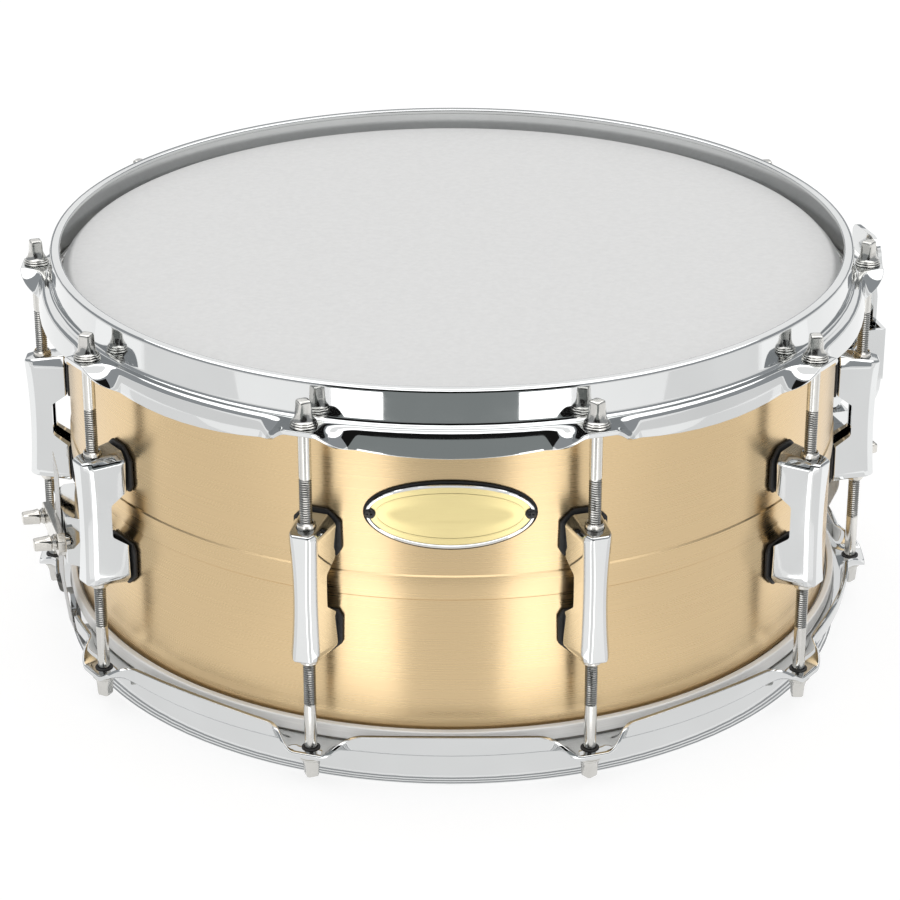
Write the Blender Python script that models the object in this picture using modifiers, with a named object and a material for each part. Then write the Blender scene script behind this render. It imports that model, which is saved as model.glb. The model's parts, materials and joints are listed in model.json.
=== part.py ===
"""Snare drum: flanged brass shell, ten bridge lugs, triple flanged hoops, lever strainer and butt.

Metres, +Z up. The drum stands on its snare side hoop, its axis is the Z axis, and the badge faces -Y.
Angles are measured round the axis from the badge, towards +X. Each piece round the shell is modelled
at the badge's place, with X along the shell, -Y outwards and Z up, and is then turned to its angle.
"""

import math

import bmesh
import bpy
from mathutils import Matrix, Vector

# Clearances
GAP = 0.0003
ROD_CLEARANCE = 0.0007
PIN_CLEARANCE = 0.0004

# Shell
SHELL_RADIUS = 0.1773
SHELL_DEPTH = 0.1651
SHELL_WALL = 0.0012
EDGE_RUN = 0.0035
EDGE_LIP = 0.0030
BEAD_HALF = 0.0058
BEAD_CROWN_HALF = 0.0028
BEAD_RISE = 0.0016

# Heads and their flesh hoops
FILM_THICKNESS = 0.0005
FLESH_HEIGHT = 0.0066
FLESH_WIDTH = 0.0032
COLLAR_IN_FLESH = 0.0055

# Hoops
HOOP_SHEET = 0.0023
RIM_RISE = 0.0092
RIM_WIDTH = 0.0046
RIM_ROUND = 0.0009
HOOP_WALL_OUT = 0.0055
FLANGE_DROP = 0.0160
SHOULDER_OUT = 0.0082
SHOULDER_LENGTH = 0.0032
SKIRT_LENGTH = 0.0090
EAR_HALF = 0.0065
EAR_SWEEP = 0.0085
GATE_HALF = 0.0220
GATE_RIM = 0.0045

# Tension rods, ten to a side
LUG_COUNT = 10
ROD_OUT = 0.0137
ROD_RADIUS = 0.0027
ROD_ENGAGED = 0.0130
ROD_BORE_SPARE = 0.0020
WASHER_RADIUS = 0.0058
WASHER_HEIGHT = 0.0020
ROD_NECK_HEIGHT = 0.0055
ROD_NECK_RADIUS = 0.0034
ROD_HEAD_HEIGHT = 0.0114
KEY_SQUARE = 0.0058

# Bridge lugs
LUG_HALF = 0.0293
LUG_FOOT_RISE = 0.0040
LUG_FRONT_OUT = 0.0222
LUG_CONCAVE = 0.0012
LUG_FRONT_WIDTH = 0.0127
LUG_WAIST_WIDTH = 0.0108
LUG_FOOT_WIDTH = 0.0180
LUG_FOOT_SIDE = 0.0040
LUG_CHAMFER_WIDTH = 0.0024
LUG_CHAMFER_DEPTH = 0.0035
SCOOP_MOUTH_HALF = 0.0124
SCOOP_FLOOR_HALF = 0.0075
SCOOP_DEPTH = 0.0095
SCOOP_WIDTH = 0.0138

# Badge
BADGE_WIDTH = 0.0720
BADGE_HEIGHT = 0.0312
BADGE_ABOVE_MIDDLE = 0.0338
BADGE_GASKET = 0.0008
BADGE_PLATE = 0.0010
BADGE_EDGE = 0.0010
BADGE_SCREW_RADIUS = 0.0023
BADGE_SCREW_INSET = 0.0030
BADGE_SCREW_HEIGHT = 0.0010

# Snare wires and straps
STRAND_COUNT = 20
STRAND_WIDTH = 0.0014
STRAND_PITCH = 0.0022
WIRES_LENGTH = 0.3240
WIRES_END_PLATE = 0.0180
STRAP_WIDTH = 0.0120
STRAP_THICKNESS = 0.0005
STRAP_LAP = 0.0120
STRAP_TAIL = 0.0300
STRAP_TUCK = 0.0030
STRAP_BEND = 0.0035
STRAP_STRAIGHT = 0.0240

# Strap clamps, alike on butt and strainer
CLAMP_LENGTH = 0.0410
CLAMP_HEIGHT = 0.0110
CLAMP_THICKNESS = 0.0037
CLAMP_CHAMFER = 0.0030
CLAMP_SCREW_SPACING = 0.0286
CLAMP_SCREW_RADIUS = 0.0019
CLAMP_SCREW_REACH = 0.0080
CLAMP_FLANGE_RADIUS = 0.0038
CLAMP_FLANGE_HEIGHT = 0.0012
CLAMP_NECK_HEIGHT = 0.0022
CLAMP_NECK_RADIUS = 0.0032
CLAMP_HEAD_HEIGHT = 0.0103

# Butt
BUTT_CLAMP_BELOW_MIDDLE = 0.0310
BUTT_DEPTH = 0.0104
BUTT_LENGTH = 0.0400
BUTT_HEIGHT = 0.0240
BUTT_ROUND = 0.0060

# Strainer base and its slider
BASE_HALF = 0.0150
BASE_PLATE = 0.0050
BASE_TOP = 0.0220
BASE_LOW = 0.0540
CHEEK_WIDTH = 0.0024
CHEEK_LOW = 0.0160
CHEEK_BEYOND_PIVOT = 0.0040
CHEEK_NOSE_HALF = 0.0060
SLIDER_PLATE = 0.0055
SLIDER_LOW = 0.0500
SHELF_TOP = 0.0110
SHELF_THICKNESS = 0.0030
SHELF_HALF = 0.0090
SHELF_SPARE = 0.0070

# Strainer lever
PIVOT_BELOW_MIDDLE = 0.0040
PIVOT_BEHIND_KNOB = 0.0050
PIVOT_RADIUS = 0.0020
LEVER_REACH = 0.0208
LEVER_WALL = 0.0020
LEVER_FACE_LOW = 0.0030
LEVER_TOP = 0.0233
LEVER_SHOULDER = 0.0010
LEVER_SIDE_ROUND = 0.0050
LEVER_SIDE_TOP = 0.0095
LEVER_SIDE_ARC = 39.0
LEVER_ARM_HALF = 0.0065
LEVER_BEND = 0.0360
LEVER_LEAN = 7.5
LEVER_ARM_TOP = 0.0530
LEVER_TAB_HALF = 0.0145
LEVER_TAB_TOP = 0.0685
LEVER_TAB_ROUND = 0.0070
LEVER_THROW = 95.0
LEVER_NOTCH_CLEARANCE = 0.0008

# Strainer knob and the carrier of its clamp
KNOB_CLEARANCE = 0.0005
KNOB_RADIUS = 0.0080
KNOB_HEIGHT = 0.0088
KNOB_CHAMFER = 0.0016
KNOB_SHAFT_RADIUS = 0.0022
KNOB_BORE_SPARE = 0.0035
STRAINER_CLAMP_BELOW_MIDDLE = 0.0405
CARRIER_THICKNESS = 0.0090
CARRIER_HALF = 0.0190
CARRIER_HEIGHT = 0.0230
CARRIER_BOSS_HEIGHT = 0.0060
CARRIER_BOSS_HALF = 0.0060
CARRIER_BOSS_SPARE = 0.0046

# Facets
RING_STEPS = 6 * LUG_COUNT
ROD_STEPS = 8
SWEEP_STEPS = 2
ARC_STEPS = 3
HOLE_STEPS = 12
BADGE_STEPS = 32
OVERCUT = 0.0100

# Places that follow from the sizes above
LUG_STEP = 360.0 / LUG_COUNT
LUG_ANGLES = [LUG_STEP * (number + 0.5) for number in range(LUG_COUNT)]
BUTT_ANGLE = -2 * LUG_STEP
STRAINER_ANGLE = BUTT_ANGLE + 180.0
HEAD_HEIGHT = SHELL_DEPTH / 2
RIM_HEIGHT = HEAD_HEIGHT + RIM_RISE
MIDDLE = RIM_HEIGHT
EAR_HEIGHT = RIM_HEIGHT - FLANGE_DROP
FLESH_TOP = EAR_HEIGHT - HOOP_SHEET - GAP
FLESH_LOW = FLESH_TOP - FLESH_HEIGHT
COLLAR_LOW = FLESH_TOP - COLLAR_IN_FLESH
COLLAR_RADIUS = SHELL_RADIUS + GAP + FILM_THICKNESS
FLESH_RADIUS = COLLAR_RADIUS + GAP
ROD_CIRCLE = SHELL_RADIUS + ROD_OUT
ROD_END = LUG_HALF - ROD_ENGAGED
CLAMP_STAND = GAP + STRAP_THICKNESS + GAP
CLAMP_DEPTH = CLAMP_STAND + CLAMP_THICKNESS
BUTT_FACE = SHELL_RADIUS + BUTT_DEPTH
BUTT_CLAMP_Z = MIDDLE - BUTT_CLAMP_BELOW_MIDDLE
BASE_FACE = SHELL_RADIUS + BEAD_RISE + GAP + BASE_PLATE
SLIDER_BACK = BASE_FACE + GAP
SLIDER_FACE = SLIDER_BACK + SLIDER_PLATE
CARRIER_BACK = SLIDER_FACE + GAP
CARRIER_FACE = CARRIER_BACK + CARRIER_THICKNESS
STRAINER_CLAMP_Z = MIDDLE - STRAINER_CLAMP_BELOW_MIDDLE
CARRIER_TOP = STRAINER_CLAMP_Z + CARRIER_HEIGHT / 2
KNOB_AXIS = SLIDER_FACE + KNOB_CLEARANCE + KNOB_RADIUS
PIVOT_AXIS = KNOB_AXIS - PIVOT_BEHIND_KNOB
PIVOT_Z = MIDDLE - PIVOT_BELOW_MIDDLE
LEVER_FACE = PIVOT_AXIS + LEVER_REACH
LEVER_HALF = BASE_HALF + GAP + LEVER_WALL
LEVER_NOTCH_HALF = KNOB_SHAFT_RADIUS + LEVER_NOTCH_CLEARANCE
LEVER_TURN = math.radians(LEVER_THROW)
LEVER_NOTCH_RISE = PIVOT_BEHIND_KNOB + LEVER_NOTCH_HALF - LEVER_REACH * math.cos(LEVER_TURN)
LEVER_NOTCH_TOP = PIVOT_Z + LEVER_NOTCH_RISE / math.sin(LEVER_TURN)
WIRES_TOP = MIDDLE - HEAD_HEIGHT - FILM_THICKNESS - 2 * GAP
WIRES_HALF_WIDTH = ((STRAND_COUNT - 1) * STRAND_PITCH + STRAND_WIDTH) / 2

# Planes in which flat outlines are drawn: along the shell and up, or outwards and up
FACING = Matrix(((1, 0, 0, 0), (0, 0, -1, 0), (0, 1, 0, 0), (0, 0, 0, 1)))
SIDEWAYS = Matrix(((0, 0, -1, 0), (-1, 0, 0, 0), (0, 1, 0, 0), (0, 0, 0, 1)))

# Finishes: colour, roughness, metallic
FINISHES = {
    "brushed_brass": ((0.76, 0.55, 0.27), 0.32, 1.0),
    "chrome": ((0.80, 0.81, 0.83), 0.06, 1.0),
    "steel": ((0.62, 0.61, 0.58), 0.25, 1.0),
    "aluminium": ((0.66, 0.66, 0.66), 0.40, 1.0),
    "coated_film": ((0.80, 0.79, 0.79), 0.60, 0.0),
    "clear_film": ((0.72, 0.73, 0.73), 0.25, 0.0),
    "black_rubber": ((0.02, 0.02, 0.02), 0.60, 0.0),
    "gold_plate": ((0.80, 0.62, 0.27), 0.35, 0.4),
    "black_steel": ((0.03, 0.03, 0.03), 0.40, 0.6),
    "white_plastic": ((0.85, 0.85, 0.83), 0.45, 0.0),
}


def clear_scene():
    for old in list(bpy.data.objects):
        bpy.data.objects.remove(old)


def make_collection(name, helpers=False):
    group = bpy.data.collections.new(name)
    group.hide_render = helpers
    bpy.context.scene.collection.children.link(group)
    return group


def make_finishes():
    made = {}
    for name, (colour, roughness, metallic) in FINISHES.items():
        finish = bpy.data.materials.new(name)
        finish.use_nodes = True
        shader = finish.node_tree.nodes["Principled BSDF"]
        shader.inputs["Base Color"].default_value = (*colour, 1.0)
        shader.inputs["Roughness"].default_value = roughness
        shader.inputs["Metallic"].default_value = metallic
        made[name] = finish
    return made


clear_scene()
PARTS = make_collection("snare_drum")
CUTTERS = make_collection("cutters", helpers=True)
MATERIALS = make_finishes()


# Shapes

def mesh_of(name, bm):
    """The bmesh as mesh data, its faces turned outwards and its round faces shaded smooth."""
    bmesh.ops.recalc_face_normals(bm, faces=bm.faces)
    mesh = bpy.data.meshes.new(name)
    bm.to_mesh(mesh)
    bm.free()
    mesh.shade_smooth()
    mesh.set_sharp_from_angle(angle=math.radians(35))
    return mesh


def part(name, mesh, finish, angle=0.0, location=(0, 0, 0), tilt=0.0, parent=None):
    made = bpy.data.objects.new(name, mesh)
    made.location = location
    made.rotation_euler = (tilt, 0.0, math.radians(angle))
    made.parent = parent
    PARTS.objects.link(made)
    if not mesh.materials:
        mesh.materials.append(MATERIALS[finish])
    return made


def helper(name, mesh, parent=None):
    made = bpy.data.objects.new(name, mesh)
    made.display_type = "WIRE"
    made.hide_render = True
    made.parent = parent
    CUTTERS.objects.link(made)
    return made


def boolean(target, other, operation="DIFFERENCE"):
    step = target.modifiers.new(other.name, "BOOLEAN")
    step.operation = operation
    step.object = other


def baked(made):
    """The object's mesh with its modifiers applied, for pieces that share one mesh."""
    bpy.context.view_layer.update()
    graph = bpy.context.evaluated_depsgraph_get()
    return bpy.data.meshes.new_from_object(made.evaluated_get(graph))


def place(angle, radius, height):
    """A point at an angle round the drum, so far from the axis and so high."""
    turn = math.radians(angle)
    return Vector((radius * math.sin(turn), -radius * math.cos(turn), height))


def box_mesh(name, low, high):
    bm = bmesh.new()
    size = Vector(high) - Vector(low)
    middle = (Vector(high) + Vector(low)) / 2
    bmesh.ops.create_cube(bm, size=1.0, matrix=Matrix.Translation(middle) @ Matrix.Diagonal((*size, 1.0)))
    return mesh_of(name, bm)


def block(name, half_width, inner, outer, low, high):
    """A box by its half width along the shell, its reach from the drum's axis and its heights."""
    return box_mesh(name, (-half_width, -outer, low), (half_width, -inner, high))


def rods_mesh(name, places, radius, low, high, turn=Matrix.Identity(4), steps=HOLE_STEPS):
    """Upright cylinders at the given x, y places, turned together into another direction."""
    bm = bmesh.new()
    for x, y in places:
        centre = Matrix.Translation((x, y, (low + high) / 2))
        bmesh.ops.create_cone(bm, cap_ends=True, segments=steps, radius1=radius, radius2=radius,
                              depth=high - low, matrix=turn @ centre)
    return mesh_of(name, bm)


def plate_mesh(name, outline, thickness, plane, outwards=0.0):
    """A flat outline with a thickness, centred on its plane, then moved outwards from the axis."""
    curve = bpy.data.curves.new(name, "CURVE")
    curve.dimensions = "2D"
    curve.fill_mode = "BOTH"
    curve.extrude = thickness / 2
    spline = curve.splines.new("POLY")
    spline.points.add(len(outline) - 1)
    for point, (across, up) in zip(spline.points, outline):
        point.co = (across, up, 0.0, 1.0)
    spline.use_cyclic_u = True
    guide = bpy.data.objects.new(name, curve)
    bpy.context.scene.collection.objects.link(guide)
    bm = bmesh.new()
    bm.from_mesh(baked(guide))
    bpy.data.objects.remove(guide)
    bmesh.ops.remove_doubles(bm, verts=bm.verts, dist=1e-6)
    bm.transform(Matrix.Translation((0, -outwards, 0)) @ plane)
    return mesh_of(name, bm)


def loft_mesh(name, sections, ring=False):
    """Faces between sections of equally many points, closed into a ring or capped at both ends."""
    bm = bmesh.new()
    rows = [[bm.verts.new(point) for point in section] for section in sections]
    pairs = list(zip(rows, rows[1:] + rows[:1])) if ring else list(zip(rows, rows[1:]))
    for first, second in pairs:
        for here in range(len(first)):
            after = (here + 1) % len(first)
            bm.faces.new((first[here], first[after], second[after], second[here]))
    if not ring:
        bm.faces.new(rows[0])
        bm.faces.new(rows[-1])
    return mesh_of(name, bm)


def turn_profile(made, steps):
    screw = made.modifiers.new("turn", "SCREW")
    screw.angle = 2 * math.pi
    screw.steps = steps
    screw.render_steps = steps
    screw.use_merge_vertices = True
    screw.merge_threshold = 1e-6
    screw.use_smooth_shade = True


def profile_mesh(name, points, closed):
    """A profile as a chain of edges in the X-Z plane, running down its outer side."""
    bm = bmesh.new()
    verts = [bm.verts.new((radius, 0.0, height)) for radius, height in points]
    for first, second in zip(verts, verts[1:] + (verts[:1] if closed else [])):
        bm.edges.new((first, second))
    mesh = bpy.data.meshes.new(name)
    bm.to_mesh(mesh)
    bm.free()
    return mesh


def turned(name, points, finish, closed=True, steps=RING_STEPS):
    made = part(name, profile_mesh(name, points, closed), finish)
    turn_profile(made, steps)
    return made


def on_side(points, side):
    """A profile drawn above the drum's middle, kept there or mirrored below it."""
    raised = [(radius, MIDDLE + side * height) for radius, height in points]
    return raised if side > 0 else raised[::-1]


def ribbon(path, thickness):
    """A closed outline: the path, and the path offset by the thickness to its right."""
    path = [Vector(point) for point in path]
    runs = [(after - here).normalized() for here, after in zip(path, path[1:])]
    rights = [Vector((run.y, -run.x)) for run in runs]
    inner = []
    for number, point in enumerate(path):
        first = rights[max(number - 1, 0)]
        second = rights[min(number, len(rights) - 1)]
        inner.append(point + (first + second) * (thickness / (1 + first.dot(second))))
    return [tuple(point) for point in path + inner[::-1]]


# Shell and badge

def bead_path(clearance=0.0):
    return [
        (SHELL_RADIUS + clearance, BEAD_HALF + clearance),
        (SHELL_RADIUS + BEAD_RISE + clearance, BEAD_CROWN_HALF + clearance),
        (SHELL_RADIUS + BEAD_RISE + clearance, -BEAD_CROWN_HALF - clearance),
        (SHELL_RADIUS + clearance, -BEAD_HALF - clearance),
    ]


def make_shell():
    crest = SHELL_RADIUS - EDGE_RUN
    edge = [
        (crest - EDGE_LIP, HEAD_HEIGHT - EDGE_LIP),
        (crest, HEAD_HEIGHT),
        (SHELL_RADIUS, HEAD_HEIGHT - EDGE_RUN),
    ]
    low_edge = [(radius, -height) for radius, height in reversed(edge)]
    outline = ribbon(edge + bead_path() + low_edge, SHELL_WALL)
    turned("shell", on_side(outline, 1), "brushed_brass")


def shell_cutter():
    """The shell's outside with a clearance, which shapes what is seated on it."""
    top = SHELL_RADIUS + GAP, HEAD_HEIGHT
    low = SHELL_RADIUS + GAP, -HEAD_HEIGHT
    chain = [(0.0, HEAD_HEIGHT), top, *bead_path(GAP), low, (0.0, -HEAD_HEIGHT)]
    made = helper("shell_cutter", profile_mesh("shell_cutter", on_side(chain, 1), False))
    turn_profile(made, RING_STEPS)
    return made


def badge_layer(name, inner, thickness, shrink, finish):
    """A curved oval: a band round the shell, kept where an oval prism meets it."""
    height = MIDDLE + BADGE_ABOVE_MIDDLE
    outer = inner + thickness
    low = height - BADGE_HEIGHT
    high = height + BADGE_HEIGHT
    band = turned(name, [(outer, high), (outer, low), (inner, low), (inner, high)], finish)
    bm = bmesh.new()
    bmesh.ops.create_cone(bm, cap_ends=True, segments=BADGE_STEPS, radius1=1.0, radius2=1.0, depth=1.0)
    half = Matrix.Diagonal((BADGE_WIDTH / 2 - shrink, BADGE_HEIGHT / 2 - shrink, SHELL_RADIUS, 1.0))
    bm.transform(Matrix.Translation((0, -SHELL_RADIUS, height)) @ FACING @ half)
    oval = helper(name + "_oval", mesh_of(name + "_oval", bm))
    boolean(band, oval, "INTERSECT")


def make_badge():
    gasket = SHELL_RADIUS + GAP
    plate = gasket + BADGE_GASKET + GAP
    badge_layer("badge_gasket", gasket, BADGE_GASKET, 0.0, "black_rubber")
    badge_layer("badge_plate", plate, BADGE_PLATE, BADGE_EDGE, "gold_plate")
    face = plate + BADGE_PLATE
    turn = math.degrees(math.asin((BADGE_WIDTH / 2 - BADGE_EDGE - BADGE_SCREW_INSET) / face))
    screw = rods_mesh("badge_screw", [(0, 0)], BADGE_SCREW_RADIUS, GAP, GAP + BADGE_SCREW_HEIGHT,
                      Matrix.Rotation(math.pi / 2, 4, "X"))
    for name, angle in (("badge_screw_left", -turn), ("badge_screw_right", turn)):
        spot = place(angle, face, MIDDLE + BADGE_ABOVE_MIDDLE)
        part(name, screw, "black_steel", angle, spot)


# Heads

def make_head(name, side, finish):
    """A film pulled over the bearing edge, with its collar down the shell's outside."""
    bend = math.tan(math.radians(22.5))
    inner = [
        (SHELL_RADIUS + GAP, COLLAR_LOW),
        (SHELL_RADIUS + GAP, HEAD_HEIGHT - EDGE_RUN + GAP * bend),
        (SHELL_RADIUS - EDGE_RUN + GAP * bend, HEAD_HEIGHT + GAP),
        (0.0, HEAD_HEIGHT + GAP),
    ]
    clear = GAP + FILM_THICKNESS
    outer = [
        (0.0, HEAD_HEIGHT + clear),
        (SHELL_RADIUS - EDGE_RUN + clear * bend, HEAD_HEIGHT + clear),
        (COLLAR_RADIUS, HEAD_HEIGHT - EDGE_RUN + clear * bend),
        (COLLAR_RADIUS, COLLAR_LOW),
    ]
    turned(name, on_side(outer + inner, side), finish, closed=False)


def make_flesh_hoop(name, side):
    outer = FLESH_RADIUS + FLESH_WIDTH
    outline = [(outer, FLESH_TOP), (outer, FLESH_LOW), (FLESH_RADIUS, FLESH_LOW), (FLESH_RADIUS, FLESH_TOP)]
    turned(name, on_side(outline, side), "aluminium")


# Hoops

def ear_bend(offset):
    """How far the hoop's outer margin is turned down, from flat at an ear to upright beyond it."""
    beyond = (math.radians(abs(offset)) * ROD_CIRCLE - EAR_HALF) / EAR_SWEEP
    share = min(max(beyond, 0.0), 1.0)
    return math.pi / 2 * share * share * (3 - 2 * share)


def hoop_section(bend):
    """Radius and height of the hoop's sheet: rim, wall, flange, and a margin turned down by bend."""
    wall = SHELL_RADIUS + HOOP_WALL_OUT
    rim = wall - RIM_WIDTH
    shoulder = Vector((SHELL_RADIUS + SHOULDER_OUT, EAR_HEIGHT))
    knee = shoulder + SHOULDER_LENGTH * Vector((math.cos(bend / 2), -math.sin(bend / 2)))
    tip = knee + SKIRT_LENGTH * Vector((math.cos(bend), -math.sin(bend)))
    between = (bend / 2 + bend) / 2
    knee_in = knee - HOOP_SHEET * Vector((math.sin(between), math.cos(between)))
    tip_in = tip - HOOP_SHEET * Vector((math.sin(bend), math.cos(bend)))
    return [
        (rim + RIM_ROUND, RIM_HEIGHT),
        (wall - RIM_ROUND, RIM_HEIGHT),
        (wall, RIM_HEIGHT - RIM_ROUND),
        (wall, EAR_HEIGHT),
        tuple(shoulder),
        tuple(knee),
        tuple(tip),
        tuple(tip_in),
        tuple(knee_in),
        (wall - HOOP_SHEET, EAR_HEIGHT - HOOP_SHEET),
        (wall - HOOP_SHEET, RIM_HEIGHT - HOOP_SHEET),
        (rim, RIM_HEIGHT - HOOP_SHEET),
    ]


def hoop_offsets():
    """Angles from an ear to the sections of half its sector: the ear, its sweep and the plain hoop."""
    ear = math.degrees(EAR_HALF / ROD_CIRCLE)
    sweep = math.degrees(EAR_SWEEP / ROD_CIRCLE)
    near = [ear + sweep * number / SWEEP_STEPS for number in range(SWEEP_STEPS + 1)]
    return near + [(near[-1] + LUG_STEP / 2) / 2]


def make_hoop(name, side):
    offsets = hoop_offsets()
    spread = [-offset for offset in reversed(offsets)] + offsets + [LUG_STEP / 2]
    sections = []
    for angle in LUG_ANGLES:
        for offset in spread:
            shape = hoop_section(ear_bend(offset))
            at = angle + offset
            sections.append([place(at, radius, MIDDLE + side * height) for radius, height in shape])
    hoop = part(name, loft_mesh(name, sections, ring=True), "chrome")
    ears = [place(angle, ROD_CIRCLE, 0.0).xy for angle in LUG_ANGLES]
    holes = rods_mesh(name + "_holes", ears, ROD_RADIUS + ROD_CLEARANCE,
                      MIDDLE + side * EAR_HEIGHT - OVERCUT, MIDDLE + side * EAR_HEIGHT + OVERCUT)
    boolean(hoop, helper(name + "_holes", holes))
    return hoop


def cut_gates(hoop):
    """Openings through which the straps leave the snare side hoop, with its rim kept whole."""
    for name, angle in (("butt_gate", BUTT_ANGLE), ("strainer_gate", STRAINER_ANGLE)):
        gate = helper(name, block(name, GATE_HALF, SHELL_RADIUS - OVERCUT, ROD_CIRCLE + OVERCUT,
                                  GATE_RIM, MIDDLE))
        gate.rotation_euler.z = math.radians(angle)
        boolean(hoop, gate)


# Bolts with a square head for a drum key

def bolt_mesh(name, flange, neck, head_height, shank_radius, shank_length):
    """A bolt along Z, seated at its origin, from its flange and neck (radius, height) pairs."""
    chain = [
        (0.0, neck[1]),
        (neck[0], neck[1]),
        flange,
        (flange[0], GAP),
        (shank_radius, GAP),
        (shank_radius, -shank_length),
        (0.0, -shank_length),
    ]
    turned_body = helper(name, profile_mesh(name, chain, False))
    turn_profile(turned_body, ROD_STEPS)
    half = KEY_SQUARE / 2
    square = box_mesh(name + "_head", (-half, -half, flange[1]), (half, half, head_height))
    boolean(turned_body, helper(name + "_head", square), "UNION")
    return baked(turned_body)


def make_tension_rods():
    length = EAR_HEIGHT - ROD_END
    mesh = bolt_mesh("tension_rod", (WASHER_RADIUS, WASHER_HEIGHT), (ROD_NECK_RADIUS, ROD_NECK_HEIGHT),
                     ROD_HEAD_HEIGHT, ROD_RADIUS, length)
    for side, kind, tilt in ((1, "batter", 0.0), (-1, "snare", math.pi)):
        for number, angle in enumerate(LUG_ANGLES, 1):
            seat = place(angle, ROD_CIRCLE, MIDDLE + side * EAR_HEIGHT)
            part(f"{kind}_rod_{number:02d}", mesh, "steel", angle, seat, tilt)


# Bridge lugs

def lug_section(height, scooped):
    """The lug's outline at a height from its middle: feet against the shell, or the scooped bridge."""
    share = (height / LUG_HALF) ** 2
    front = SHELL_RADIUS + LUG_FRONT_OUT - LUG_CONCAVE * (1 - share)
    front_half = (LUG_WAIST_WIDTH + (LUG_FRONT_WIDTH - LUG_WAIST_WIDTH) * share) / 2
    back = SHELL_RADIUS + (SCOOP_DEPTH if scooped else GAP)
    back_half = (SCOOP_WIDTH if scooped else LUG_FOOT_WIDTH) / 2
    shoulder = front - LUG_CHAMFER_DEPTH
    side = (back + shoulder) / 2 if scooped else back + LUG_FOOT_SIDE
    half = [
        (back_half, back),
        (back_half, side),
        (front_half, shoulder),
        (front_half - LUG_CHAMFER_WIDTH, front),
    ]
    rise = math.copysign(LUG_FOOT_RISE, height) if abs(height) == LUG_HALF else 0.0
    rises = [rise, rise, 0.0, 0.0]
    left = [Vector((-x, -out, MIDDLE + height + up)) for (x, out), up in zip(half, rises)]
    right = [Vector((x, -out, MIDDLE + height + up)) for (x, out), up in zip(half, rises)]
    return left + right[::-1]


def make_lugs():
    upper = [(SCOOP_FLOOR_HALF, True), (SCOOP_MOUTH_HALF, False),
             ((SCOOP_MOUTH_HALF + LUG_HALF) / 2, False), (LUG_HALF, False)]
    stations = [(-height, scooped) for height, scooped in reversed(upper)] + [(0.0, True)] + upper
    body = helper("lug", loft_mesh("lug", [lug_section(*station) for station in stations]))
    bore_floor = ROD_END - ROD_BORE_SPARE
    for name, side in (("upper_bore", 1), ("lower_bore", -1)):
        ends = sorted((MIDDLE + side * bore_floor, MIDDLE + side * (LUG_HALF + OVERCUT)))
        bore = rods_mesh(name, [(0.0, -ROD_CIRCLE)], ROD_RADIUS + ROD_CLEARANCE, *ends)
        boolean(body, helper(name, bore))
    mesh = baked(body)
    for number, angle in enumerate(LUG_ANGLES, 1):
        part(f"lug_{number:02d}", mesh, "chrome", angle)


# Snare wires and straps

def make_snare_wires():
    """Strands side by side between two end plates, stretched under the snare side head."""
    low = WIRES_TOP - STRAND_WIDTH
    half_length = WIRES_LENGTH / 2
    slab = box_mesh("snare_wires", (-WIRES_HALF_WIDTH, -half_length, low),
                    (WIRES_HALF_WIDTH, half_length, WIRES_TOP))
    wires = part("snare_wires", slab, "steel", STRAINER_ANGLE)
    slot_half = (STRAND_PITCH - STRAND_WIDTH) / 2
    slot_end = half_length - WIRES_END_PLATE
    bm = bmesh.new()
    for number in range(STRAND_COUNT - 1):
        middle = -WIRES_HALF_WIDTH + STRAND_WIDTH + slot_half + number * STRAND_PITCH
        size = Matrix.Diagonal((2 * slot_half, 2 * slot_end, OVERCUT, 1.0))
        bmesh.ops.create_cube(bm, size=1.0, matrix=Matrix.Translation((middle, 0, WIRES_TOP)) @ size)
    slots = helper("strand_slots", mesh_of("strand_slots", bm))
    slots.rotation_euler.z = math.radians(STRAINER_ANGLE)
    boolean(wires, slots)


def make_strap(name, angle, face, clamp_z, tail):
    """A strip from under the end plate, out of the hoop's gate and up between face and clamp plate."""
    low = WIRES_TOP - STRAND_WIDTH - GAP
    flesh_clear = FLESH_RADIUS + FLESH_WIDTH
    upright = face + GAP
    path = [
        (WIRES_LENGTH / 2 - STRAP_LAP, low),
        (flesh_clear, low),
        ((flesh_clear + upright) / 2, low + STRAP_BEND),
        (upright, clamp_z - STRAP_STRAIGHT),
        (upright, clamp_z + CLAMP_HEIGHT / 2 + tail),
    ]
    outline = ribbon(path, STRAP_THICKNESS)
    part(name, plate_mesh(name, outline, STRAP_WIDTH, SIDEWAYS), "white_plastic", angle)


# Strap clamps

def clamp_screw_holes(name, inner, face, height, parent):
    """A cutter for the clamp's two screws, from a depth inside the body outwards."""
    outwards = Matrix.Rotation(math.pi / 2, 4, "X")
    half = CLAMP_SCREW_SPACING / 2
    mesh = rods_mesh(name, [(-half, height), (half, height)], CLAMP_SCREW_RADIUS + PIN_CLEARANCE,
                     inner, face + CLAMP_DEPTH + OVERCUT, outwards)
    return helper(name, mesh, parent)


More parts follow.
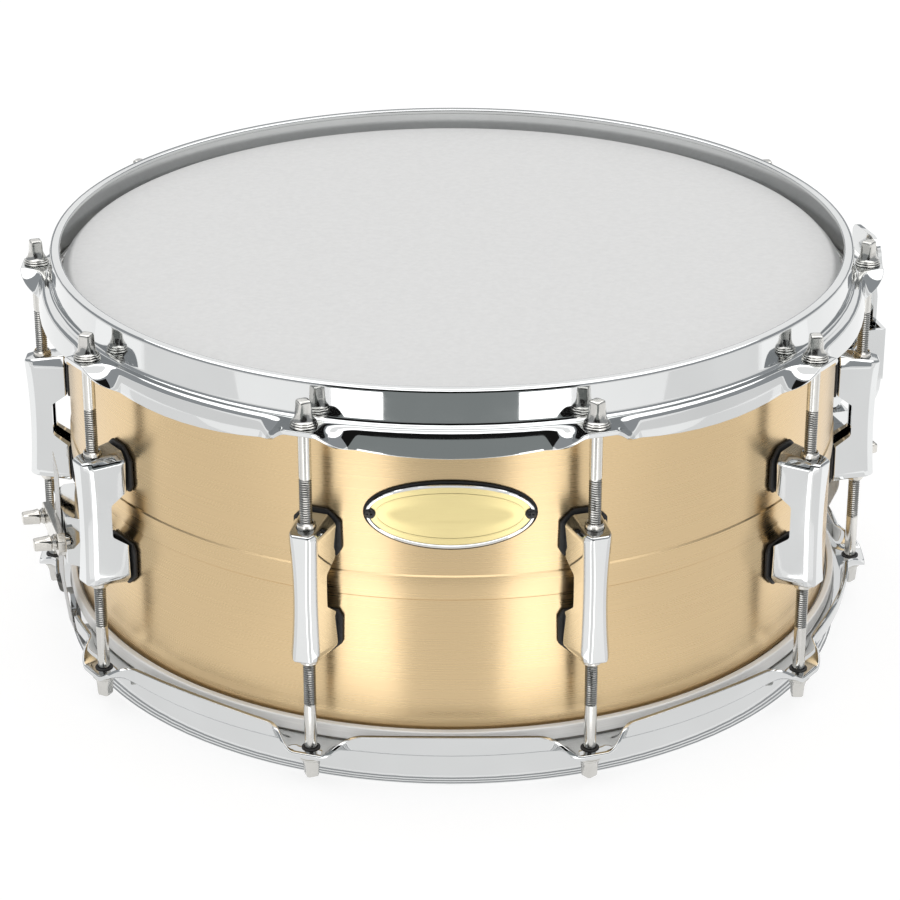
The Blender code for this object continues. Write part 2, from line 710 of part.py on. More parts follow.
def make_clamp(kind, station, face, height, holes):
    """The plate that presses the strap against a face, and its two key screws."""
    half = CLAMP_LENGTH / 2
    side = CLAMP_HEIGHT / 2
    cut = CLAMP_CHAMFER
    outline = [
        (-half, side - cut), (-half + cut, side), (half - cut, side), (half, side - cut),
        (half, cut - side), (half - cut, -side), (cut - half, -side), (-half, cut - side),
    ]
    raised = [(across, height + up) for across, up in outline]
    mesh = plate_mesh(kind + "_clamp_plate", raised, CLAMP_THICKNESS, FACING,
                      face + CLAMP_STAND + CLAMP_THICKNESS / 2)
    plate = part(kind + "_clamp_plate", mesh, "steel", parent=station)
    boolean(plate, holes)
    screw = bolt_mesh(kind + "_clamp_screw", (CLAMP_FLANGE_RADIUS, CLAMP_FLANGE_HEIGHT),
                      (CLAMP_NECK_RADIUS, CLAMP_NECK_HEIGHT), CLAMP_HEAD_HEIGHT,
                      CLAMP_SCREW_RADIUS, CLAMP_SCREW_REACH)
    for label, across in (("left", -1), ("right", 1)):
        seat = (across * CLAMP_SCREW_SPACING / 2, -face - CLAMP_DEPTH, height)
        part(f"{kind}_clamp_screw_{label}", screw, "steel", 0.0, seat, math.pi / 2, station)


def make_station(name, angle):
    """An empty on the drum's axis that turns the pieces under it to their place."""
    station = bpy.data.objects.new(name, None)
    station.rotation_euler.z = math.radians(angle)
    PARTS.objects.link(station)
    return station


def make_butt(seat):
    station = make_station("butt_station", BUTT_ANGLE)
    half = BUTT_LENGTH / 2
    inside = SHELL_RADIUS - OVERCUT
    corner = BUTT_ROUND
    outline = [
        (-half, -inside), (half, -inside), (half, corner - BUTT_FACE), (half - corner, -BUTT_FACE),
        (corner - half, -BUTT_FACE), (-half, corner - BUTT_FACE),
    ]
    mesh = plate_mesh("butt_body", outline, BUTT_HEIGHT, Matrix.Translation((0, 0, BUTT_CLAMP_Z)))
    body = part("butt_body", mesh, "chrome", parent=station)
    boolean(body, seat)
    floor = BUTT_FACE + CLAMP_DEPTH - CLAMP_SCREW_REACH - GAP
    holes = clamp_screw_holes("butt_screw_holes", floor, BUTT_FACE, BUTT_CLAMP_Z, station)
    boolean(body, holes)
    make_clamp("butt", station, BUTT_FACE, BUTT_CLAMP_Z, holes)


# Strainer: a lever that lowers a slider, which carries the clamp by an adjusting knob

def make_base(station, seat, pivot_hole):
    back = SHELL_RADIUS - OVERCUT
    base = part("strainer_base", block("strainer_base", BASE_HALF, back, BASE_FACE,
                                       MIDDLE - BASE_LOW, MIDDLE + BASE_TOP), "chrome", parent=station)
    tip = PIVOT_AXIS + CHEEK_BEYOND_PIVOT
    nose = CHEEK_NOSE_HALF
    raised = [
        (back, MIDDLE + BASE_TOP), (BASE_FACE, MIDDLE + BASE_TOP), (tip, PIVOT_Z + nose),
        (tip, PIVOT_Z - nose), (tip - nose, MIDDLE - CHEEK_LOW), (back, MIDDLE - CHEEK_LOW),
    ]
    for name, across in (("left_cheek", -1), ("right_cheek", 1)):
        mesh = plate_mesh(name, raised, CHEEK_WIDTH, SIDEWAYS)
        mesh.transform(Matrix.Translation((across * (BASE_HALF - CHEEK_WIDTH / 2), 0, 0)))
        boolean(base, helper(name, mesh, station), "UNION")
    boolean(base, seat)
    boolean(base, pivot_hole)


def lever_sections():
    """Half width and height of the lever's face plate: box front, arm, and a rounded finger tab."""
    stages = [
        (LEVER_HALF, -LEVER_FACE_LOW), (LEVER_HALF, LEVER_TOP),
        (LEVER_ARM_HALF, LEVER_TOP + LEVER_SHOULDER), (LEVER_ARM_HALF, LEVER_BEND),
        (LEVER_ARM_HALF, LEVER_ARM_TOP), (LEVER_TAB_HALF, LEVER_ARM_TOP + LEVER_SHOULDER),
    ]
    for number in range(ARC_STEPS + 1):
        turn = math.pi / 2 * number / ARC_STEPS
        stages.append((LEVER_TAB_HALF - LEVER_TAB_ROUND * (1 - math.cos(turn)),
                       LEVER_TAB_TOP - LEVER_TAB_ROUND * (1 - math.sin(turn))))
    return stages


def lever_side():
    """A side wall seen from the side: rounded about the pivot, then up to the box's top."""
    middle = LEVER_FACE - LEVER_WALL / 2
    radius = middle - PIVOT_AXIS
    arc = []
    for number in range(ARC_STEPS + 1):
        turn = math.radians(LEVER_SIDE_ARC) * number / ARC_STEPS
        arc.append((PIVOT_AXIS + radius * math.cos(turn), PIVOT_Z - radius * math.sin(turn)))
    return [(middle, MIDDLE + LEVER_TOP)] + arc + [
        (PIVOT_AXIS, PIVOT_Z - LEVER_SIDE_ROUND),
        (PIVOT_AXIS - LEVER_SIDE_ROUND, PIVOT_Z),
        (PIVOT_AXIS - LEVER_SIDE_ROUND, PIVOT_Z + LEVER_SIDE_ROUND),
        (middle - LEVER_SIDE_TOP, MIDDLE + LEVER_TOP),
    ]


def make_lever(station, pivot_hole):
    """A hollow lever over the cheeks, with a leaning arm and a notch that clears the knob's shaft."""
    pivot = Vector((0, -PIVOT_AXIS, PIVOT_Z))
    sections = []
    for half, up in lever_sections():
        outer = LEVER_FACE - max(up - LEVER_BEND, 0.0) * math.tan(math.radians(LEVER_LEAN))
        corners = [(-half, outer), (half, outer), (half, outer - LEVER_WALL), (-half, outer - LEVER_WALL)]
        sections.append([Vector((across, -out, MIDDLE + up)) - pivot for across, out in corners])
    mesh = loft_mesh("strainer_lever", sections)
    lever = part("strainer_lever", mesh, "chrome", location=pivot, parent=station)
    for name, across in (("left_lever_side", -1), ("right_lever_side", 1)):
        wall = plate_mesh(name, lever_side(), LEVER_WALL, SIDEWAYS)
        wall.transform(Matrix.Translation((across * (LEVER_HALF - LEVER_WALL / 2), 0, 0)))
        boolean(lever, helper(name, wall, station), "UNION")
    boolean(lever, pivot_hole)
    notch = block("lever_notch", LEVER_NOTCH_HALF, LEVER_FACE - 2 * LEVER_WALL, LEVER_FACE + LEVER_WALL,
                  PIVOT_Z - OVERCUT, LEVER_NOTCH_TOP)
    boolean(lever, helper("lever_notch", notch, station))


def make_slider(station, shaft_hole):
    """A plate guided between the cheeks, with a shelf on which the knob turns."""
    half = BASE_HALF - CHEEK_WIDTH - GAP
    slider = part("strainer_slider", block("strainer_slider", half, SLIDER_BACK, SLIDER_FACE,
                                           MIDDLE - SLIDER_LOW, MIDDLE + SHELF_TOP), "steel", parent=station)
    shelf = block("shelf", SHELF_HALF, SLIDER_FACE - SLIDER_PLATE / 2, KNOB_AXIS + SHELF_SPARE,
                  MIDDLE + SHELF_TOP - SHELF_THICKNESS, MIDDLE + SHELF_TOP)
    boolean(slider, helper("shelf", shelf, station), "UNION")
    boolean(slider, shaft_hole)


def make_knob(station):
    """A round knob on the shelf, with its threaded shaft down into the carrier's boss."""
    seat = MIDDLE + SHELF_TOP + GAP
    chain = [
        (0.0, KNOB_HEIGHT), (KNOB_RADIUS - KNOB_CHAMFER, KNOB_HEIGHT),
        (KNOB_RADIUS, KNOB_HEIGHT - KNOB_CHAMFER),
        (KNOB_RADIUS, 0.0), (KNOB_SHAFT_RADIUS, 0.0), (KNOB_SHAFT_RADIUS, CARRIER_TOP - seat),
        (0.0, CARRIER_TOP - seat),
    ]
    knob = part("strainer_knob", profile_mesh("strainer_knob", chain, False), "chrome",
                location=(0, -KNOB_AXIS, seat), parent=station)
    turn_profile(knob, 2 * HOLE_STEPS)


def make_carrier(station, shaft_hole):
    """The block behind the strap, with a boss that rides on the knob's thread."""
    low = CARRIER_TOP - CARRIER_HEIGHT
    carrier = part("strainer_carrier", block("strainer_carrier", CARRIER_HALF, CARRIER_BACK, CARRIER_FACE,
                                             low, CARRIER_TOP), "chrome", parent=station)
    boss = block("boss", CARRIER_BOSS_HALF, CARRIER_BACK, KNOB_AXIS + CARRIER_BOSS_SPARE,
                 STRAINER_CLAMP_Z + CLAMP_HEIGHT / 2 + GAP, CARRIER_TOP + CARRIER_BOSS_HEIGHT)
    boolean(carrier, helper("boss", boss, station), "UNION")
    holes = clamp_screw_holes("strainer_screw_holes", CARRIER_BACK - OVERCUT, CARRIER_FACE,
                              STRAINER_CLAMP_Z, station)
    boolean(carrier, holes)
    boolean(carrier, shaft_hole)
    make_clamp("strainer", station, CARRIER_FACE, STRAINER_CLAMP_Z, holes)


def make_strainer(seat):
    station = make_station("strainer_station", STRAINER_ANGLE)
    sideways = Matrix.Rotation(math.pi / 2, 4, "Y")
    pivot = [(-PIVOT_Z, -PIVOT_AXIS)]
    reach = LEVER_HALF + OVERCUT
    pivot_hole = helper("pivot_hole", rods_mesh("pivot_hole", pivot, PIVOT_RADIUS + PIN_CLEARANCE,
                                                -reach, reach, sideways), station)
    make_base(station, seat, pivot_hole)
    make_lever(station, pivot_hole)
    pin = rods_mesh("strainer_pin", pivot, PIVOT_RADIUS, -LEVER_HALF, LEVER_HALF, sideways)
    part("strainer_pin", pin, "steel", parent=station)
    shaft = rods_mesh("shaft_hole", [(0.0, -KNOB_AXIS)], KNOB_SHAFT_RADIUS + PIN_CLEARANCE,
                      CARRIER_TOP - KNOB_BORE_SPARE, MIDDLE + SHELF_TOP + OVERCUT)
    shaft_hole = helper("shaft_hole", shaft, station)
    make_slider(station, shaft_hole)
    make_carrier(station, shaft_hole)
    make_knob(station)


def make_drum():
    make_shell()
    make_badge()
    for kind, side, film in (("batter", 1, "coated_film"), ("snare", -1, "clear_film")):
        make_head(kind + "_head", side, film)
        make_flesh_hoop(kind + "_flesh_hoop", side)
    make_hoop("batter_hoop", 1)
    cut_gates(make_hoop("snare_hoop", -1))
    make_lugs()
    make_tension_rods()
    seat = shell_cutter()
    make_butt(seat)
    make_strainer(seat)
    make_snare_wires()
    make_strap("butt_strap", BUTT_ANGLE, BUTT_FACE, BUTT_CLAMP_Z, STRAP_TAIL)
    make_strap("strainer_strap", STRAINER_ANGLE, CARRIER_FACE, STRAINER_CLAMP_Z, -STRAP_TUCK)


make_drum()
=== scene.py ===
"""The looks of the snare drum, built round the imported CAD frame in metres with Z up."""

import json
from math import asin, atan2, copysign, cos, degrees, hypot, pi, radians, sin, sqrt, tan

import bmesh
import bpy
from mathutils import Matrix, Vector


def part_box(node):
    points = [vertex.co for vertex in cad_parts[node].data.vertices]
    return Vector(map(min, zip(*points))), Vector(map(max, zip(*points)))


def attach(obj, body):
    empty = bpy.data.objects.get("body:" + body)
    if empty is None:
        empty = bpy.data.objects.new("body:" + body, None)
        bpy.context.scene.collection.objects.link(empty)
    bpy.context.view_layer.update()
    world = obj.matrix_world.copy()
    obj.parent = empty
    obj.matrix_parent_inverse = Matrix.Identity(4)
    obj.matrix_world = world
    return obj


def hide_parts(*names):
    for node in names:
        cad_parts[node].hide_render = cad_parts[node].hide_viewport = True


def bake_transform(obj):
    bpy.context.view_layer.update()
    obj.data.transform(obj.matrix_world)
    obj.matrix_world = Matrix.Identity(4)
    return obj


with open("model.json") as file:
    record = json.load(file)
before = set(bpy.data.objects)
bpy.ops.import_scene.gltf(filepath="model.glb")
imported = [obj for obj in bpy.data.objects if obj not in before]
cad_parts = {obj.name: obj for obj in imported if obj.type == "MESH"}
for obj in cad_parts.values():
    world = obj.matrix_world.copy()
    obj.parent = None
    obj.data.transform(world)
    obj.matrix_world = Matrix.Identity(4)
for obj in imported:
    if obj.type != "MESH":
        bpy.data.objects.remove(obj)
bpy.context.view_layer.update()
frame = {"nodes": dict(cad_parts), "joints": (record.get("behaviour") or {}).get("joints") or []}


# Places that the frame gives

def lowest(node):
    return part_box(node)[0].z


def highest(node):
    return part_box(node)[1].z


def rod_angle(number):
    """Angle of a tension rod about the drum's axis, in degrees, from the front towards the right."""
    name = f"batter_rod_{number}_turn"
    spot = next(joint["pos_m"] for joint in frame["joints"] if joint["name"] == name)
    return degrees(atan2(spot[0], -spot[1]))


MIDDLE = (highest("batter_hoop") + lowest("snare_hoop")) / 2
DRUM_CENTRE = Vector((0, 0, MIDDLE))
RIM_HEIGHT = highest("batter_hoop") - MIDDLE
HEAD_TOP = highest("batter_head") - MIDDLE
COLLAR_LOW = lowest("batter_head") - MIDDLE
SHELL_HEIGHT = highest("shell") - MIDDLE
FLESH_TOP = highest("batter_flesh_hoop") - MIDDLE
FLESH_LOW = lowest("batter_flesh_hoop") - MIDDLE
NUMBERS = [f"{number:02d}" for number in range(1, 11)]
LUG_ANGLES = {number: rod_angle(number) for number in NUMBERS}
# Angles about the drum's axis, in degrees, as for the rods
STATIONS = {"butt": -72.0, "strainer": 108.0}
SIDES = (("left", -1), ("right", 1))

# Angle over which an edge stays sharp, in degrees, and least radius off an axis
SHARP = 32.0
ON_AXIS = 1e-7

# Sizes are in metres and heights count from the drum's middle, unless a comment says otherwise

# Shell, heads and flesh hoops
DRUM_STEPS = 240
SHELL_RADIUS = 0.1773
SHELL_WALL = 0.0012
SHELL_SHARP = 22.0
# Distances in from the shell's radius and down from its top edge
BEARING_EDGE = ((0.0040, 0.0003), (0.0034, 0.0), (0.0029, 0.0003), (0.0003, 0.0033), (0.0, 0.0042))
BEAD_HALF = 0.0058
BEAD_MARGIN = 0.001
BEAD_SLOPE = 0.0006
BEAD_LIFT = 0.0006
BEAD_CROWN = 0.0002
BEAD_STEPS = 8
FILM = 0.0005
HEAD_FLAT = 0.1742
HEAD_ROUND = 0.0030
HEAD_STEPS = 6
COLLAR_RADIUS = 0.1781
COLLAR_TOP = 0.0792
COLLAR_INSET = 0.0002
FLESH_RADIUS = 0.1784
FLESH_OUTER = FLESH_RADIUS + 0.0032
FLESH_ROUNDS = (0.0008, 0.0012)

# Hoops, with their flange flat in an ear at each rod and folded into a skirt between two
ROD_CIRCLE = 0.191
HALF_STEP = pi * ROD_CIRCLE / len(NUMBERS)
SHEET = 0.0023
HOOP_SHARP = 55.0
RIM_RADIUS = 0.1782
RIM_WIDTH = 0.0046
RIM_ROUND = 0.0017
LIP_ROUNDS = (0.0006, 0.0009)
WALL_FILLET = 0.0022
FILLET_SHARE = 0.98
WALL_ROUNDS = (0.0018, 0.0008)
SHOULDER_LENGTH = 0.0037
SHOULDER_BEND = radians(76)
SHOULDER_STEPS = 8
SKIRT_LENGTHS = {"batter_hoop": 0.0097, "snare_hoop": 0.0088}
SKIRT_CRESCENT = 0.0052
SKIRT_BEND = radians(87)
SKIRT_STEPS = 5
SKIRT_TIP = ((-0.0003, 0.0), (-0.0001, 0.0001), (0.0, 0.0003), (0.0, SHEET - 0.0007),
             (-0.0002, SHEET - 0.0002), (-0.0006, SHEET))
EAR_HEIGHT = 0.07575
EAR_LENGTH = 0.0090
EAR_HALF = 0.0055
EAR_SWEEP = 0.0165
# Distances along the hoop from a rod, within its ear and past the fold
EAR_OFFSETS = (0.0, 0.0022, 0.0044, EAR_HALF)
FOLD_STEPS = 24
SKIRT_OFFSETS = (0.0240, 0.0305, 0.0395, 0.0495)
EAR_HOLE = 0.0033
HOLE_DEPTH = 0.02
HOLE_STEPS = 24
# The gates' heights count from the floor
GATE_HALF = 0.022
GATE_HEIGHTS = (0.0045, 0.06)
GATE_DEPTHS = (0.173, 0.20)
GATE_ROUND = 0.003
GROMMET_OUTLINE = ((0.0029, -0.0010), (0.0032, -0.0010), (0.0032, 0.0001), (0.0040, 0.0001),
                   (0.0040, 0.0003), (0.0036, 0.0005), (0.0029, 0.0005))

# Tension rods, from their ear's face, and the screw heads and washers
ROD_RADIUS = 0.0027
ROD_LENGTH = 0.05945
ROD_TWIST = 137.5
ROD_END = 0.0006
ROD_END_SHARE = 0.8
ROD_CLEARANCE = 0.0002
ROD_WASHERS = ((0.0058, 0.0002, 0.0011), (0.0054, 0.0013, 0.0021))
ROD_HEAD = {"flange": 0.0049, "base": 0.0022, "top": 0.0114, "half": 0.0029}
THREAD_PITCH = 0.00106
THREAD_DEPTH = 0.0005
THREAD_CREST = 0.0001
THREAD_START = -0.0233
THREAD_END = -0.0460
THREAD_LEAD = 0.0008
THREAD_TAIL = 0.0004
THREAD_POINTS = 14
THREAD_RINGS = 6
SCREW_SHARP = 40.0
WASHER_EDGE = 0.0002
WASHER_STEPS = 32
# A key head's shares of its flange or half width, powers of the ring and distances from base or top
ROUND = 2
KEY_POINTS = 24
KEY_FLANGE = ((1.0, 0.0), (1.0, 0.0004), (0.95, 0.0006), (0.86, 0.0011))
KEY_FLARE = ((1.34, 2.1, 0.0018), (1.22, 2.6, 0.0026), (1.10, 4, 0.0034), (1.0, 8, 0.0044))
KEY_END = ((0.93, 9, 0.0011), (0.88, 8, 0.0004), (0.76, 6, 0.0001), (0.55, 4, 0.0))

# Lugs, with their nuts and gaskets
LUG_HALF = 0.0293
LUG_BACK = 0.1794
LUG_FRONT = 0.1992
LUG_CONCAVE = 0.0012
LUG_RISE = 0.0028
LUG_TRIM = ((0.0262, 0.0092), (LUG_HALF, 0.0057))
LUG_LEVELS = [LUG_HALF, LUG_TRIM[0][0], 0.0215, 0.0170, 0.0120, 0.0080, 0.0040]
LUG_END_HALF = 0.0065
LUG_WAIST_HALF = 0.0053
LUG_CHAMFER = (0.0024, 0.0035)
LUG_FLARE = ((0.0030, LUG_BACK), (0.0022, 0.1850))
LUG_ROUND = 0.0012
LUG_ROUND_ANGLE = 16.0
LUG_ROUND_STEPS = 4
LUG_SHARP = 35.0
CUT_BACK = 0.170
CUT_HALF = 0.02
SCOOP_MOUTH = 0.0130
SCOOP_SPREAD = 0.0075
SCOOP_FLOOR = 0.0076
SCOOP_DEPTH = 0.1870
SCOOP_ROUND = 0.0022
HOLLOW_HALF = (0.0042, 0.0250)
HOLLOW_FRONT = 0.1936
HOLLOW_ROUND = 0.002
HOLLOW_END = 0.0010
HOLLOW_END_SHARE = 0.85
BORE_LENGTH = 0.1
NUT_CLEARANCE = 0.0002
NUT_RADIUS = 0.0040
NUT_BORE = ROD_RADIUS + 0.0003
NUT_LOW = 0.0240
NUT_TOP = 0.0328
NUT_BEVEL = (0.0005, 0.0006)
NUT_BORE_BEVEL = 0.0004
NUT_STEPS = 28
GASKET_OUTLINE = ((0.0047, 0.0335), (0.0073, 0.0312), (0.0104, 0.0282), (0.0107, 0.0158), (0.0087, 0.0126))
GASKET_RADII = (0.1775, 0.1792)
GASKET_ROUND = 0.0006
GASKET_ROUND_ANGLE = 25.0

# Badge, in distances in from its edge and radii about the drum's axis
BADGE_HALF = (0.0360, 0.0156)
BADGE_HEIGHT = 0.0338
BADGE_POINTS = 72
BADGE_SHARP = 25.0
BADGE_FACE = 0.1791
BADGE_PAD = ((0.0, 0.1775), (0.0, 0.1782), (0.0003, 0.1785))
BADGE_RIM = ((0.0010, 0.1787), (0.0010, 0.1793), (0.0013, 0.1796), (0.0022, 0.1796), (0.0025, 0.1793),
             (0.0025, 0.1787))
BADGE_FIELD = ((0.0026, 0.1787), (0.0026, BADGE_FACE), (0.0050, BADGE_FACE), (0.0052, 0.1792),
               (0.0056, 0.1792), (0.0058, BADGE_FACE), (0.0090, BADGE_FACE), (0.0125, BADGE_FACE))
BADGE_SCREW_ACROSS = 0.0330
BADGE_SCREW_SEAT = 0.1793
BADGE_SCREW = ((0.0, -0.0004), (0.0023, -0.0004), (0.0023, 0.0003), (0.0019, 0.0008), (0.0010, 0.0010),
               (0.0, 0.0010))
BADGE_SCREW_STEPS = 28
CROSS_BARS = ((0.0026, 0.0006, 0.0012), (0.0006, 0.0026, 0.0012))
CROSS_HEIGHT = 0.0010

# Snare wires and straps
STRAND_COUNT = 20
STRAND_PITCH = 0.0022
STRAND_RADIUS = 0.0007
STRAND_TUCK = 0.002
STRAND_SHARP = 60.0
WIRE_RADIUS = 0.00019
WIRE_STRETCH = 1.3
COIL_PITCH = 0.0028
COIL_STEPS = 6
WIRES_HALF = 0.162
END_PLATE = 0.018
END_PLATE_ROUNDS = (0.002, 0.003)
END_PLATE_EDGE = 0.0003
STRAP_WIDTH = 0.012
STRAP_THICKNESS = 0.0005
STRAP_GAP = 0.0003
STRAP_TUCK = 0.012
STRAP_RISE = 0.0035
STRAP_ROUNDS = (0.006, 0.004, 0.012)
STRAP_STEPS = 6
STRAP_BACKS = {"butt": 0.1877, "strainer": 0.1993}
STRAP_SLANT = -0.003
STRAP_TIP_DROP = 0.003
STRAP_STRAIGHT_DROP = 0.024
# Shares of half the strap's width and thickness, round its section
STRAP_SECTION = ((-1, 0.5), (-0.9, 1), (0.9, 1), (1, 0.5), (1, -0.5), (0.9, -1), (-0.9, -1), (-1, -0.5))

# Butt and strainer
CAST_SHARP = 30.0
CAST_ROUND_ANGLE = 28.0
FLAT_ANGLE = 1.0
MERGE_DISTANCE = 1e-6
# Solids that are shown with rounded edges: node, body, finish and radius of the edges
ROUNDED_SOLIDS = (
    ("butt_body", "drum", "chrome", 0.0010), ("butt_clamp_plate", "drum", "steel", 0.0004),
    ("strainer_base", "drum", "chrome", 0.0007), ("strainer_slider", "slider", "chrome", 0.0005),
    ("strainer_carrier", "carrier", "chrome", 0.0006), ("strainer_clamp_plate", "carrier", "steel", 0.0004),
    ("strainer_lever", "lever", "chrome", 0.0006), ("strainer_pin", "drum", "steel", 0.0003),
)
CLAMP_SPACING = 0.0286
CLAMP_BODIES = {"butt": "drum", "strainer": "carrier"}
CLAMP_SEATS = {"butt": 0.1925, "strainer": 0.2041}
CLAMP_WASHER = {"radius": 0.0038, "bore": 0.0012, "low": 0.0002, "high": 0.0011}
CLAMP_HEAD = {"flange": 0.0034, "base": 0.0010, "top": 0.0103, "half": 0.0027}
CLAMP_SHANK = ((0.0, 0.0011), (0.0020, 0.0011), (0.0020, -0.0060), (0.0016, -0.0066), (0.0, -0.0066))
SHANK_STEPS = 20
KNOB_HEIGHT = 0.0088
KNOB_POINTS = 72
KNURL_DEPTH = 0.0003
KNURL_SPACING = 3
# Radius, height over the knob's seat and depth of the knurling
KNOB_LEVELS = ((0.0070, 0.0, 0.0), (0.0079, 0.0005, 0.0), (0.0080, 0.0012, KNURL_DEPTH),
               (0.0080, 0.0072, KNURL_DEPTH), (0.0079, 0.0080, 0.0), (0.0070, KNOB_HEIGHT, 0.0),
               (0.0052, KNOB_HEIGHT, 0.0), (0.0046, 0.0083, 0.0), (0.0015, 0.0082, 0.0))
KNOB_SHAFT = 0.0022
KNOB_SHAFT_TOP = 0.001
KNOB_SHAFT_BEVEL = 0.0004

# Studio, where flat cards show in reflections alone and count across, forwards and up from the floor
FLOOR_LEVEL = -0.0003
FLOOR_SIZE = 30.0
FLOOR_COLOUR = (0.30, 0.30, 0.30, 1.0)
FLOOR_EMISSION = 0.765
CARD_LIFT = 0.001
CARD_STEPS = 96
CARD_LIGHTS = {
    "dark": ((0.245, 0.265, 0.265), 1.0), "black": ((0.01, 0.01, 0.01), 1.0),
    "bright": ((1.0, 1.0, 1.0), 2.1), "dim": ((0.88, 0.88, 0.88), 1.0), "pale": ((1.0, 1.0, 1.0), 1.14),
    "horizon": ((0.32, 0.335, 0.35), 1.0), "shade": ((0.36, 0.37, 0.38), 1.0),
    "grey": ((0.80, 0.80, 0.80), 1.0),
}
# Half width, heights, distance forwards and light
FRONT_CARDS = {
    "low": (0.147, (0.0, 0.06), 0.55, "dark"), "wide": (0.33, (0.0, 0.17), 0.598, "dark"),
    "high": (0.34, (0.17, 0.60), 0.598, "black"),
}
FLOOR_FRONT = ((-0.0480, 0.245), (0.0480, 0.245), (0.145, 0.54), (-0.145, 0.54))
FLOOR_SIDES = {
    "strip": (((0.0350, 0.240), (0.0889, 0.235), (0.4275, 0.7646), (0.236, 0.845)), "bright"),
    "dim": (((0.16, 0.30), (0.90, 0.44), (0.90, 0.090), (0.19, 0.100)), "dim"),
    "glow": (((0.23, 0.085), (0.60, 0.085), (0.60, -0.12), (0.23, -0.10)), "pale"),
}
FLOOR_NEAR = (0.1890, 0.2380)
FLOOR_FAR = (1.01, 9.0)
SHADE_RINGS = ((0.1700, 0.1838), (0.1846, 0.1856), (0.1864, 0.1876))
# A ring that glows over the snare side flesh hoop, in the gap by the shell, and shows only in reflections:
# painted light on the shell's lower edge
GAP_LIGHT_RING = (0.1820, 0.1862)
OVERHEAD_RING = (0.43, 0.96)
OVERHEAD_HEIGHT = 1.1
HORIZON_CARDS = 16
HORIZON_RADIUS = 1.7
HORIZON_LOW = 0.24
HORIZON_TOPS = {"front": 1.9, "back": 0.70}
HORIZON_BACK = -0.65

# Camera, in picture points, metres and degrees
PICTURE_SIZE = 900
FOCAL_LENGTH = 2915.0
PICTURE_CENTRE = (451.96, 414.14)
CAMERA_DISTANCE = 1.3709
CAMERA_ELEVATION = 24.005
CAMERA_AZIMUTH = 0.209
SENSOR_WIDTH = 36.0


# Mesh helpers

def polar(turn, radius, height):
    return Vector((radius * sin(turn), -radius * cos(turn), height))


def place(angle, radius, height):
    """A point about the drum's axis, at a height from its middle."""
    return polar(radians(angle), radius, MIDDLE + height)


def about_axis(angle):
    return Matrix.Rotation(radians(angle), 4, "Z")


# Turns what faces up towards the front
FACE_OUT = Matrix.Rotation(pi / 2, 4, "X")


def bent(across, radius, height):
    """A point at a distance across the drum's front, on a radius about its axis."""
    return across, -sqrt(radius ** 2 - across ** 2), height


def rounded(corners, steps=4):
    """A closed outline from (x, y, radius) corners, with each corner turned into an arc."""
    outline = []
    for index, (x, y, radius) in enumerate(corners):
        here = Vector((x, y))
        if radius == 0:
            outline.append(here)
            continue
        back = (Vector(corners[index - 1][:2]) - here).normalized()
        onward = (Vector(corners[(index + 1) % len(corners)][:2]) - here).normalized()
        run = radius / tan(back.angle(onward) / 2)
        for step in range(steps + 1):
            share = step / steps
            outline.append(here + back * run * (1 - share) ** 2 + onward * run * share ** 2)
    return outline


def rounded_box(left, right, low, high, low_round, high_round):
    return rounded([(left, low, low_round), (right, low, low_round), (right, high, high_round),
                    (left, high, high_round)])


def skin(bm, rings, closed=False):
    """Faces through rings of points, all of the same count, with caps unless the path is closed."""
    loops = [[bm.verts.new(point) for point in ring] for ring in rings]
    pairs = list(zip(loops, loops[1:]))
    if closed:
        pairs.append((loops[-1], loops[0]))
    count = len(loops[0])
    for first, second in pairs:
        for here in range(count):
            after = (here + 1) % count
            bm.faces.new((first[here], first[after], second[after], second[here]))
    if not closed:
        bm.faces.new(loops[0][::-1])
        bm.faces.new(loops[-1])


def revolve(bm, outline, steps, closed=True, centre=Vector((0, 0, 0))):
    """A turned form from an outline of (radius, height) points about a vertical line."""
    columns = []
    for radius, height in outline:
        count = 1 if radius < ON_AXIS else steps
        columns.append([bm.verts.new(centre + polar(2 * pi * step / steps, radius, height))
                        for step in range(count)])
    pairs = list(zip(columns, columns[1:]))
    if closed:
        pairs.append((columns[-1], columns[0]))
    for first, second in pairs:
        for here in range(steps):
            after = (here + 1) % steps
            if len(first) == 1:
                bm.faces.new((first[0], second[after], second[here]))
            elif len(second) == 1:
                bm.faces.new((first[here], first[after], second[0]))
            else:
                bm.faces.new((first[here], first[after], second[after], second[here]))


def cylinder(bm, radius, length, centre, steps):
    bmesh.ops.create_cone(bm, cap_ends=True, segments=steps, radius1=radius, radius2=radius, depth=length,
                          matrix=Matrix.Translation(centre))


def soften(bm, width, angle=20.0, segments=2):
    """Rounds every edge that is sharper than the angle."""
    bmesh.ops.recalc_face_normals(bm, faces=bm.faces)
    limit = radians(angle)
    edges = [edge for edge in bm.edges if len(edge.link_faces) == 2 and edge.calc_face_angle() > limit]
    bmesh.ops.bevel(bm, geom=edges, offset=width, segments=segments, profile=0.5, affect="EDGES",
                    clamp_overlap=True)


def mesh_from(name, bm, finish, sharp=SHARP):
    bmesh.ops.recalc_face_normals(bm, faces=bm.faces)
    mesh = bpy.data.meshes.new(name)
    bm.to_mesh(mesh)
    bm.free()
    mesh.materials.append(MATERIALS[finish])
    mesh.shade_smooth()
    mesh.set_sharp_from_angle(angle=radians(sharp))
    return mesh


def show(name, mesh, matrix=None):
    """An object of the mesh, or of a copy of it that the matrix has put in place."""
    if matrix:
        mesh = mesh.copy()
        mesh.transform(matrix)
    obj = bpy.data.objects.new(name, mesh)
    bpy.context.scene.collection.objects.link(obj)
    return obj


def dress(obj, body, finish, *nodes):
    """Sets what the piece rides on and hides the nodes it stands for; the finish is not used."""
    # Wide faces stay flat in reflections, and the normals turn in the narrow ones
    obj.modifiers.new("even_normals", "WEIGHTED_NORMAL").keep_sharp = True
    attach(obj, body)
    if nodes:
        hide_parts(*nodes)


